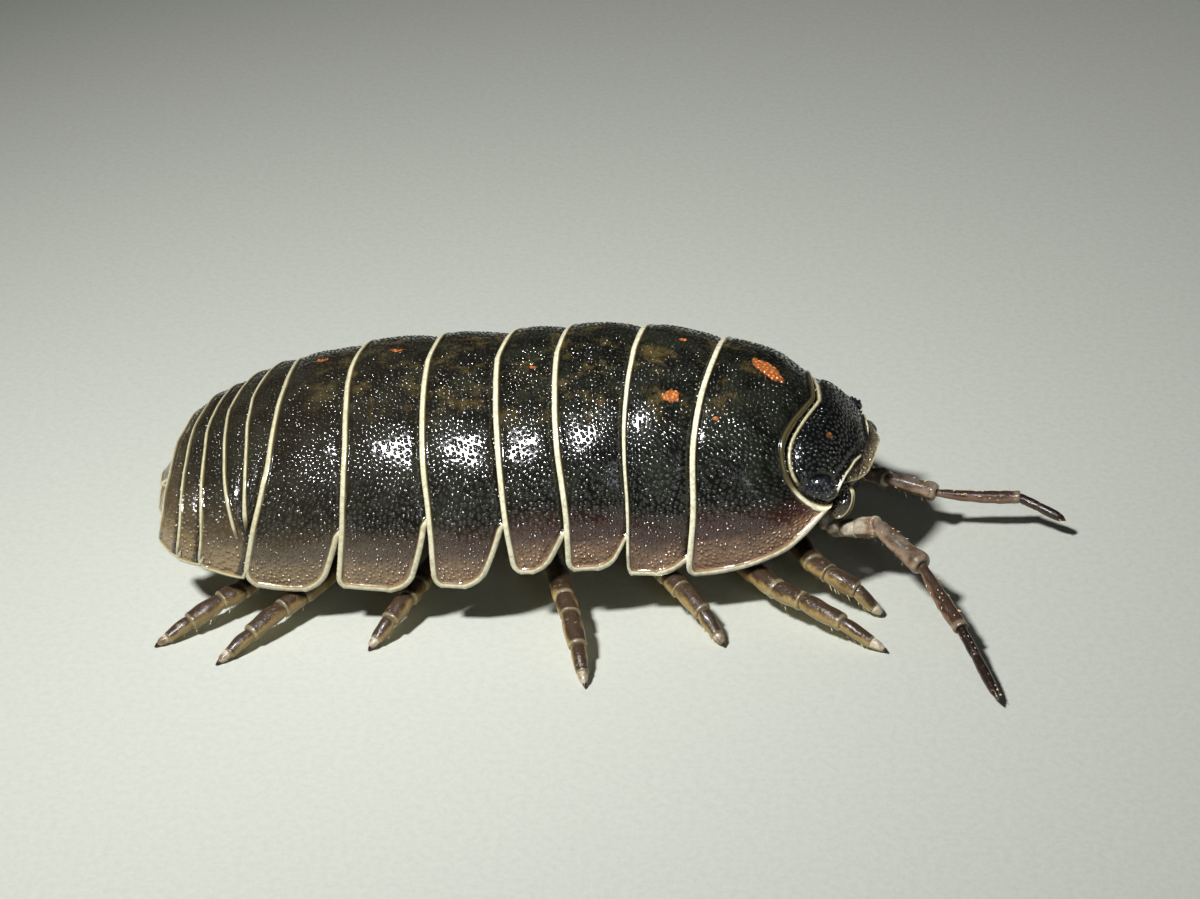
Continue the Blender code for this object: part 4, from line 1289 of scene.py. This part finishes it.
# Turned outlines of the limbs' articles: radius and height, each as a share
OUTLINES = {
    "stout": (
        (0.0, 0.0), (0.70, 0.0), (0.82, 0.05), (0.93, 0.2), (1.0, 0.45), (0.98, 0.7),
        (0.95, 0.84), (0.98, 0.93), (0.88, 0.99), (0.6, 1.0), (0.0, 0.97),
    ),
    "fluted": (
        (0.0, 0.0), (0.62, 0.0), (0.74, 0.04), (0.84, 0.15), (0.98, 0.36), (0.95, 0.58),
        (0.88, 0.74), (1.08, 0.86), (1.10, 0.94), (0.86, 1.0), (0.5, 1.0), (0.0, 0.96),
    ),
    "club": (
        (0.0, 0.0), (0.48, 0.0), (0.60, 0.03), (0.62, 0.10), (0.80, 0.26), (0.95, 0.48), (1.02, 0.70),
        (0.98, 0.88), (0.98, 0.93), (1.05, 0.965), (0.95, 1.0), (0.5, 0.99), (0.0, 0.96),
    ),
    "leg": (
        (0.0, 0.0), (0.60, 0.0), (0.72, 0.03), (0.86, 0.12), (1.0, 0.35), (1.0, 0.62),
        (0.95, 0.85), (0.99, 0.93), (0.88, 0.99), (0.55, 1.0), (0.0, 0.97),
    ),
    "toe": (
        (0.0, 0.0), (0.85, 0.0), (1.0, 0.10), (0.96, 0.34), (0.82, 0.52), (0.62, 0.64), (0.42, 0.70),
        (0.40, 0.75), (0.32, 0.83), (0.20, 0.91), (0.07, 0.98), (0.0, 1.0),
    ),
    "lash": (
        (0.0, 0.0), (0.60, 0.0), (0.82, 0.05), (0.96, 0.2), (1.0, 0.6), (0.97, 0.9), (0.80, 0.99), (0.0, 0.98),
    ),
    "lash_tip": (
        (0.0, 0.0), (0.70, 0.0), (0.88, 0.05), (1.0, 0.3), (0.97, 0.6), (0.78, 0.80), (0.50, 0.90),
        (0.28, 0.94), (0.14, 0.985), (0.0, 1.0),
    ),
}
SPIKE = ((0.0, 0.0), (1.0, 0.0), (0.8, 0.35), (0.45, 0.7), (0.0, 1.0))


def rounded(outline):
    """Cuts the corners of an outline twice, so that it curves."""
    for _ in range(2):
        cut = [outline[0]]
        for a, b in zip(outline[:-1], outline[1:]):
            cut.append((0.75 * a[0] + 0.25 * b[0], 0.75 * a[1] + 0.25 * b[1]))
            cut.append((0.25 * a[0] + 0.75 * b[0], 0.25 * a[1] + 0.75 * b[1]))
        cut.append(outline[-1])
        outline = cut
    return outline


def placed_article(
    template, name, a, b, ra, rb, bend=0.0, overlap=0.08, flute=0.0, claw=0.0, uneven=0.05, pale=0.0
):
    """A copy of a turned article laid from joint a to joint b."""
    a, b = np.asarray(a, float), np.asarray(b, float)
    length = np.linalg.norm(b - a)
    across, over, run = basis(b - a)
    co = template["unit"]
    h = co[:, 2]
    ring = np.arctan2(co[:, 1], co[:, 0])
    seed = int(abs(a[0] * 1000) + abs(b[1] * 100)) % 97 + 1
    radius = ra + (rb - ra) * h
    radius = radius * (1.0 + flute * np.cos(6.0 * ring + 0.6) * np.sin(np.pi * np.clip(h, 0.0, 1.0)) ** 0.5)
    radius = radius * (1.0 + uneven * lumps(co * np.array((1.0, 1.0, length / max(ra, 0.05))), 1.9, seed))
    along = (-overlap + (1.0 + overlap * 1.4) * h) * length
    arch = bend * length * np.sin(np.pi * np.clip(h, 0, 1))
    points = (
        a
        + (co[:, 0] * radius)[:, None] * across
        + (co[:, 1] * radius * LIMB_FLATNESS + arch)[:, None] * over
        + along[:, None] * run
    )
    points[:, 2] = np.maximum(points[:, 2], 0.0)
    obj = copy_of(template["object"], name, row_frame(points))
    out = np.maximum(np.hypot(co[:, 0], co[:, 1]), 0.2)
    ends = ease(h, 0.90, 0.95) + 0.6 * (1.0 - ease(h, 0.05, 0.12))
    add_layers(
        obj,
        upper=0.5 + 0.5 * np.clip(co[:, 1] / out, -1.0, 1.0),
        cuff=np.clip(ends, 0.0, 1.0) * (1.0 - claw),
        claw=claw * ease(h, 0.70, 0.76),
        pale=pale,
    )
    return obj


def template_of(name, steps):
    """A turned article of unit radius and height, to be copied."""
    outline = SPIKE if name == "spike" else rounded(OUTLINES[name])
    obj = spin_profile(name, outline, steps)
    return {"object": obj, "unit": read_points(obj).copy()}


def templates(*names):
    """The articles that a limb is made of."""
    return {name: template_of(name, 5 if name == "spike" else 24) for name in names}


def drop_templates(made):
    """Removes the articles that were copied."""
    for one in made.values():
        bpy.data.objects.remove(one["object"])


def bristles(spike, a, b, ra, rb, count, length, lean, spread):
    """Thin pointed hairs along one article."""
    a, b = np.asarray(a, float), np.asarray(b, float)
    across, over, run = basis(b - a)
    made = []
    for k in range(count):
        h = 0.2 + 0.75 * (k + RANDOM.uniform(0.0, 0.6)) / count
        turn = -0.5 * math.pi + RANDOM.uniform(-spread, spread)
        out = across * math.cos(turn) + over * math.sin(turn)
        root = a + (b - a) * h + out * (ra + (rb - ra) * h) * 0.88
        way = out * (1.0 - lean) + run * lean
        side, up, way = basis(way)
        long = length * RANDOM.uniform(0.7, 1.25)
        co = spike["unit"]
        points = root + (co[:, :1] * side + co[:, 1:2] * up) * HAIR_RADIUS + co[:, 2:] * way * long
        if points[:, 2].min() < HAIR_CLEARANCE:
            continue
        made.append(copy_of(spike["object"], "hair", row_frame(points)))
    return made


def limb_points(joints, shares):
    """Joints set at shares of the length of a polyline."""
    joints = np.asarray(joints, float)
    steps = np.linalg.norm(np.diff(joints, axis=0), axis=1)
    run = np.concatenate([[0.0], np.cumsum(steps)]) / steps.sum()
    return [np.array([np.interp(s, run, joints[:, k]) for k in range(3)]) for s in shares]


def leg_parts(name, joints, shapes):
    """Seven articles of a leg, its claw and its hairs."""
    hip, knee, third, fourth, foot = (np.asarray(j, float) for j in joints)
    p = limb_points((knee, third, fourth, foot), [share for share, rise in LEG_JOINTS])
    p = [point + np.array((0.0, 0.0, rise)) for point, (share, rise) in zip(p, LEG_JOINTS)]
    p[-1][2] = FOOT_HEIGHT
    places = [hip + np.array((0.0, 0.0, HIP_RISE)), hip, *p]
    parts = [
        placed_article(shapes[shape], name, a, b, ra, rb, **differs)
        for a, b, (shape, ra, rb, differs) in zip(places[:-1], places[1:], LEG_ARTICLES)
    ]
    hairs = []
    for first, last, ra, rb, count, length, lean, spread in LEG_HAIRS:
        hairs += bristles(shapes["spike"], p[first], p[last], ra, rb, count, length, lean, spread)
    return parts, hairs


def belly_skin():
    """The soft underside from neck to tail, with a fold at every ring."""
    obj, u, v = grid("belly_skin", int(300 * DETAIL), int(70 * DETAIL))
    front, rear = BELLY_ENDS
    x = front - u * (front - rear)
    side = 2.0 * v - 1.0
    reach = half_width(x) - 0.62 - 0.12 * ease(-x, 5.0, 7.5)
    roof = 2.0 - 0.35 * ease(-x, 4.5, 7.5)
    creases = [edges[0] for edges in REAR_EDGES.values()] + list(NECK_CREASES)
    fold = sum(np.exp(-(((x - c) / 0.10) ** 2)) for c in creases)
    ring = sum(np.exp(-(((x - c - 0.22) / 0.12) ** 2)) for c in creases)
    z = roof + 0.38 * np.abs(side) ** 6 - 0.14 * (1.0 - side**2)
    z = z + 0.09 * np.clip(fold, 0, 1) * (1.0 - side**8) - 0.04 * np.clip(ring, 0, 1)
    y = reach * np.sign(side) * np.abs(side) ** 0.9
    write_points(obj, row_frame(turned(np.stack([x, y, z], -1))))
    face_away(obj, row_frame((0.0, 0.0, 40.0)))
    thicken(obj, 0.06)
    return obj


def gill_flaps(side, name):
    """Five overlapping lamellae under the tail on one side."""
    parts = []
    for k in range(GILL_FLAPS):
        t = k / (GILL_FLAPS - 1.0)
        obj, u, v = grid("flap", 22, 22)
        dx, dy = disc(u, v)
        x = -5.62 - 1.42 * t - dx * 0.40
        y = side * (0.92 - 0.12 * t + dy * (0.62 - 0.14 * t))
        r2 = dx * dx + dy * dy
        z = 1.18 - 0.12 * t + 0.10 * dx - 0.16 * (1.0 - r2) + 0.03 * np.sin(dy * 5.0)
        write_points(obj, row_frame(np.stack([x, y, z], -1)))
        face_away(obj, row_frame((-6.3, side * 0.9, 30.0)))
        thicken(obj, 0.09)
        parts.append(obj)
    return join(name, parts)


def mouth_parts():
    """Jaw feet and palps below the head."""
    parts = []
    for (x, y, z), size in MOUTH_PIECES:
        for side in (-1.0, 1.0):
            clear_selection()
            bpy.ops.mesh.primitive_uv_sphere_add(segments=28, ring_count=18, radius=1.0)
            obj = bpy.context.object
            co = read_points(obj)
            shape = co * np.array(size)
            shape[:, 2] *= 1.0 - 0.25 * co[:, 0]
            shape = shape + np.array((x, side * y, z))
            write_points(obj, row_frame(turned(shape)))
            parts.append(obj)
    return join("mouthparts", parts)


def finish_tail_sheet(obj, x, y, gap, rim_width, rim_height, flank, thickness, sizes):
    """Gives a sheet of the tail its low grains, its rim, its layers and its thickness."""
    face_away(obj, row_frame(TAIL_MIDDLE))
    rim = 1.0 - ease(gap, *rim_width)
    grain = 0.3 * granules(y, x, sizes.grain_spacing, sizes.grain_spacing * 0.42) * (1.0 - rim)
    raise_surface(obj, sizes.grain_height * grain + rim_height * rim)
    add_layers(obj, rim=rim, grain=grain, flank=flank, fleck=0.0)
    thicken(obj, thickness)
    return obj


def tail_plate(sizes):
    """The tail plate: a blunt triangle that closes the shell behind."""
    obj, u, v = grid("telson", int(44 * DETAIL) + 8, int(60 * DETAIL) + 8)
    side = 2.0 * v - 1.0
    x = TAIL_PLATE_FRONT - TAIL_PLATE_LENGTH * u
    w = smooth_table((0.0, 0.25, 0.55, 0.85, 1.0), (0.98, 0.84, 0.60, 0.40, 0.26), u)
    z = smooth_table((0.0, 0.3, 0.7, 1.0), (2.46, 2.26, 1.98, 1.74), u) - 0.16 * np.abs(side) ** 2.2
    y = w * side
    write_points(obj, row_frame(np.stack([x, y, z], -1)))
    gap = np.minimum((1.0 - np.abs(side)) * w, (1.0 - u) * TAIL_PLATE_LENGTH)
    return finish_tail_sheet(obj, x, y, gap, (0.05, 0.09), 0.02, 0.8, 0.16, sizes)


def tail_leg(side, name, sizes):
    """The flat outer branch of the last limb, which fills the corner beside the tail plate."""
    obj, u, v = grid(name, int(30 * DETAIL) + 8, int(34 * DETAIL) + 8)
    x = TAIL_LEG_FRONT - TAIL_LEG_LENGTH * u
    near = smooth_table((0.0, 0.5, 1.0), (1.00, 0.80, 0.50), u)
    far = smooth_table((0.0, 0.5, 1.0), (1.95, 1.62, 1.05), u)
    y = side * (near + (far - near) * v)
    z = smooth_table((0.0, 0.5, 1.0), (2.12, 1.95, 1.78), u) - 0.34 * v**1.6
    write_points(obj, row_frame(np.stack([x, y, z], -1)))
    gap = np.minimum(np.minimum(v, 1.0 - v) * (far - near), (1.0 - u) * TAIL_LEG_LENGTH)
    return finish_tail_sheet(obj, x, y, gap, (0.04, 0.08), 0.015, 0.9, 0.14, sizes)


# Settings


class ShellSizes(bpy.types.PropertyGroup):
    """Sizes of the shell, in millimetres"""

    rim_width: bpy.props.FloatProperty(
        name="Rim width", description="Width of the pale rim, in mm", default=0.15
    )
    rim_height: bpy.props.FloatProperty(
        name="Rim height", description="Height of the rim, in mm", default=0.045
    )
    plate_step: bpy.props.FloatProperty(
        name="Plate step", description="Rise towards the rear, in mm", default=0.07
    )
    plate_swell: bpy.props.FloatProperty(
        name="Plate swell", description="Bulge between the rims, in mm", default=0.10
    )
    plate_thickness: bpy.props.FloatProperty(
        name="Plate thickness", description="Thickness of a plate, in mm", default=0.13
    )
    grain_spacing: bpy.props.FloatProperty(
        name="Grain spacing", description="Distance between grains, in mm", default=0.115
    )
    grain_height: bpy.props.FloatProperty(
        name="Grain height", description="Height of a grain, in mm", default=0.017
    )
    mesh_spacing: bpy.props.FloatProperty(
        name="Mesh spacing", description="Distance between mesh points, in mm", default=0.018
    )


class StageSettings(bpy.types.PropertyGroup):
    """Floor colour and strength of the lights"""

    floor_colour: bpy.props.FloatVectorProperty(
        name="Floor colour", description="Linear colour of the floor", default=linear("#dee2d9")[:3], size=3,
        subtype="COLOR",
    )
    key_power: bpy.props.FloatProperty(
        name="Key light", description="Power of the main light", default=0.0114, unit="POWER"
    )
    glint_power: bpy.props.FloatProperty(
        name="Glint light", description="Power of the light seen in the gloss", default=0.0140, unit="POWER"
    )
    fill_power: bpy.props.FloatProperty(
        name="Fill light", description="Power of the side light", default=0.0004, unit="POWER"
    )
    spread: bpy.props.FloatProperty(
        name="Light spread", description="Angle of the lights' cones", default=math.radians(64.0),
        subtype="ANGLE",
    )
    sky_strength: bpy.props.FloatProperty(
        name="Surround", description="Strength of the pale surround", default=0.019
    )


class WOODLOUSE_OT_shell(bpy.types.Operator):
    """Build the twelve plates of the shell"""

    bl_idname = "woodlouse.shell"
    bl_label = "Shell plates"

    def execute(self, context):
        front = REAR_EDGES["pereonite_1"]
        for name, rear in REAR_EDGES.items():
            edges = front
            if name == "pleonite_3":
                edges = (front[0], front[1], *TAIL_LOBE_FRONT)
            plate = shell_plate(name, edges, context.scene.woodlouse_shell)
            plate.name = name + "_plate"
            slot = "rear_shell" if name.startswith("pleonite") else "shell"
            finish_piece(plate, shell_look(), slot, name)
            front = rear
        return {"FINISHED"}


class WOODLOUSE_OT_head(bpy.types.Operator):
    """Build the head with its frontal shield and brow lobes"""

    bl_idname = "woodlouse.head"
    bl_label = "Head"

    def execute(self, context):
        sizes = context.scene.woodlouse_shell
        finish_piece(head_capsule(sizes), head_look(), "head_shell", "head")
        finish_piece(shield_plate(), head_look(), "head_shell", "head")
        for side, label in SIDES:
            lobe = brow_lobe(side)
            lobe.name = "brow_lobe_" + label
            finish_piece(lobe, head_look(), "head_shell", "head")
        return {"FINISHED"}


class WOODLOUSE_OT_eyes(bpy.types.Operator):
    """Build both compound eyes"""

    bl_idname = "woodlouse.eyes"
    bl_label = "Eyes"

    def execute(self, context):
        for side, label in SIDES:
            eye = compound_eye(side, "eye_lenses_" + label)
            finish_piece(eye, stock("corneal lens over pigment", eye_lens), "eye", "eye_" + label)
        return {"FINISHED"}


class WOODLOUSE_OT_feelers(bpy.types.Operator):
    """Build both feelers with their hairs"""

    bl_idname = "woodlouse.feelers"
    bl_label = "Feelers"

    def execute(self, context):
        shapes = templates("stout", "fluted", "club", "lash", "lash_tip", "spike")
        spike = shapes["spike"]
        for side, (stalk, lash) in FEELERS.items():
            slim = 1.0 if side == "right" else FAR_FEELER_SLIMNESS
            parts, hairs = [], []
            for article, a, b in zip(FEELER_ARTICLES, stalk[:-1], stalk[1:]):
                shape, ra, rb, pale, flute, uneven, bend, short, long = article
                ra, rb = ra * slim, rb * slim
                parts.append(placed_article(
                    shapes[shape], "stalk", a, b, ra, rb,
                    bend=bend, overlap=STALK_OVERLAP, flute=flute, uneven=uneven, pale=pale,
                ))
                hairs += bristles(spike, a, b, ra, rb, short, 0.08, 0.6, ALL_ROUND)
                hairs += bristles(spike, a, b, ra, rb, long, 0.15, 0.35, 0.5)
            stalk_piece = join("feeler_stalk_" + side, parts)
            finish_piece(stalk_piece, feeler_look(), "feeler", f"antenna_{side}_peduncle")
            parts = []
            for k, (ra, rb, count, lean) in enumerate(LASH_HAIRS):
                shape, radii = shapes[("lash", "lash_tip")[k]], LASH_RADII[k : k + 2]
                parts.append(placed_article(shape, "lash", lash[k], lash[k + 1], *radii, uneven=0.03))
                hairs += bristles(spike, lash[k], lash[k + 1], ra, rb, count, 0.06, lean, ALL_ROUND)
            lash_piece = join("feeler_lash_" + side, parts)
            finish_piece(lash_piece, lash_look(), "lash", f"antenna_{side}_flagellum")
            finish_piece(join("feeler_hairs_" + side, hairs), hair_look(), "lash")
        drop_templates(shapes)
        return {"FINISHED"}


class WOODLOUSE_OT_legs(bpy.types.Operator):
    """Build the fourteen legs with their hairs"""

    bl_idname = "woodlouse.legs"
    bl_label = "Legs"

    def execute(self, context):
        shapes = templates("leg", "toe", "spike")
        for k, (near, (dx, dy)) in enumerate(zip(LEGS, FAR_FOOT_SHIFT)):
            far = tuple((x + dx * s, -y + dy * s, z) for (x, y, z), s in zip(near, FAR_SHIFT_SHARES))
            for joints, label in ((near, "right"), (far, "left")):
                name = f"leg_{k + 1}_{label}"
                parts, hairs = leg_parts(name, joints, shapes)
                finish_piece(join(name + "_articles", parts), leg_look(), "leg", name)
                finish_piece(join(name + "_hairs", hairs), hair_look(), "leg")
        drop_templates(shapes)
        return {"FINISHED"}


class WOODLOUSE_OT_underside(bpy.types.Operator):
    """Build the belly skin, gill flaps and mouthparts"""

    bl_idname = "woodlouse.underside"
    bl_label = "Underside"

    def execute(self, context):
        finish_piece(belly_skin(), skin_look(), "mouth", *REAR_EDGES)
        for side, label in SIDES:
            finish_piece(gill_flaps(side, "gill_flaps_" + label), gill_look(), "gill", "pleopods_" + label)
        finish_piece(mouth_parts(), skin_look(), "mouth", "mouthparts")
        return {"FINISHED"}


class WOODLOUSE_OT_tail(bpy.types.Operator):
    """Build the tail plate and the two tail legs"""

    bl_idname = "woodlouse.tail"
    bl_label = "Tail"

    def execute(self, context):
        sizes = context.scene.woodlouse_shell
        plate = tail_plate(sizes)
        plate.name = "telson_plate"
        finish_piece(plate, shell_look(), "tail", "telson")
        for side, label in SIDES:
            finish_piece(tail_leg(side, "tail_leg_" + label, sizes), shell_look(), "tail", "uropod_" + label)
        return {"FINISHED"}


class WOODLOUSE_OT_stage(bpy.types.Operator):
    """Lay the floor, hang the lights and set the camera"""

    bl_idname = "woodlouse.stage"
    bl_label = "Floor, lights and camera"

    def execute(self, context):
        scene = context.scene
        settings = scene.woodlouse_stage
        clear_selection()
        bpy.ops.mesh.primitive_plane_add(size=FLOOR_WIDTH, location=(0.0, 0.0, 0.0))
        floor = context.object
        floor.name = "floor"
        floor.data.materials.append(floor_look(settings.floor_colour))
        for name, place, size, power, colour in LIGHTS:
            clear_selection()
            bpy.ops.object.light_add(type="AREA", location=[c * MM for c in place])
            lamp = context.object
            lamp.name = name
            lamp.data.shape = "DISK"
            lamp.data.size = size * MM
            lamp.data.energy = getattr(settings, power)
            lamp.data.color = colour
            lamp.data.spread = settings.spread
            aim = Vector(row_frame(LIGHT_AIM)) - lamp.location
            lamp.rotation_euler = aim.to_track_quat("-Z", "Y").to_euler()
        # The key light makes the shadows. The glint light makes the highlights and leaves the floor alone.
        bpy.data.objects["key_light"].visible_glossy = False
        spared = bpy.data.collections.new("spared_by_glint_light")
        spared.objects.link(floor)
        bpy.data.objects["glint_light"].light_linking.receiver_collection = spared
        spared.collection_objects[0].light_linking.link_state = "EXCLUDE"
        world = bpy.data.worlds.new("pale_surround")
        world.use_nodes = True
        surround = world.node_tree.nodes["Background"]
        surround.inputs["Color"].default_value = linear("#dfe6e6")
        surround.inputs["Strength"].default_value = settings.sky_strength
        scene.world = world
        clear_selection()
        bpy.ops.object.camera_add()
        camera = context.object
        camera.name = "camera"
        turn = Matrix((CAMERA_RIGHT, CAMERA_UP, CAMERA_BACK)).transposed()
        camera.matrix_world = Matrix.Translation(Vector(row_frame(CAMERA_EYE))) @ turn.to_4x4()
        camera.data.lens = CAMERA_LENS
        camera.data.sensor_width = SENSOR_WIDTH
        camera.data.clip_start = 0.001
        camera.data.clip_end = 10.0
        scene.camera = camera
        scene.view_settings.view_transform = "Standard"
        return {"FINISHED"}


class WOODLOUSE_PT_panel(bpy.types.Panel):
    """Sizes and steps of the woodlouse"""

    bl_idname = "WOODLOUSE_PT_panel"
    bl_label = "Woodlouse"
    bl_space_type = "VIEW_3D"
    bl_region_type = "UI"
    bl_category = "Woodlouse"

    def draw(self, context):
        layout = self.layout
        for group in (context.scene.woodlouse_shell, context.scene.woodlouse_stage):
            for key in group.__annotations__:
                layout.prop(group, key)
        for step in STEPS:
            layout.operator(step.bl_idname)


STEPS = (
    WOODLOUSE_OT_shell,
    WOODLOUSE_OT_head,
    WOODLOUSE_OT_eyes,
    WOODLOUSE_OT_feelers,
    WOODLOUSE_OT_legs,
    WOODLOUSE_OT_underside,
    WOODLOUSE_OT_tail,
    WOODLOUSE_OT_stage,
)
CLASSES = (ShellSizes, StageSettings, *STEPS, WOODLOUSE_PT_panel)


def register():
    for made in CLASSES:
        bpy.utils.register_class(made)
    bpy.types.Scene.woodlouse_shell = bpy.props.PointerProperty(type=ShellSizes)
    bpy.types.Scene.woodlouse_stage = bpy.props.PointerProperty(type=StageSettings)


def unregister():
    del bpy.types.Scene.woodlouse_stage
    del bpy.types.Scene.woodlouse_shell
    for made in reversed(CLASSES):
        bpy.utils.unregister_class(made)


def main():
    register()
    bpy.ops.woodlouse.shell()
    bpy.ops.woodlouse.head()
    bpy.ops.woodlouse.eyes()
    bpy.ops.woodlouse.feelers()
    bpy.ops.woodlouse.legs()
    bpy.ops.woodlouse.underside()
    bpy.ops.woodlouse.tail()
    bpy.ops.woodlouse.stage()


if __name__ == "__main__":
    main()
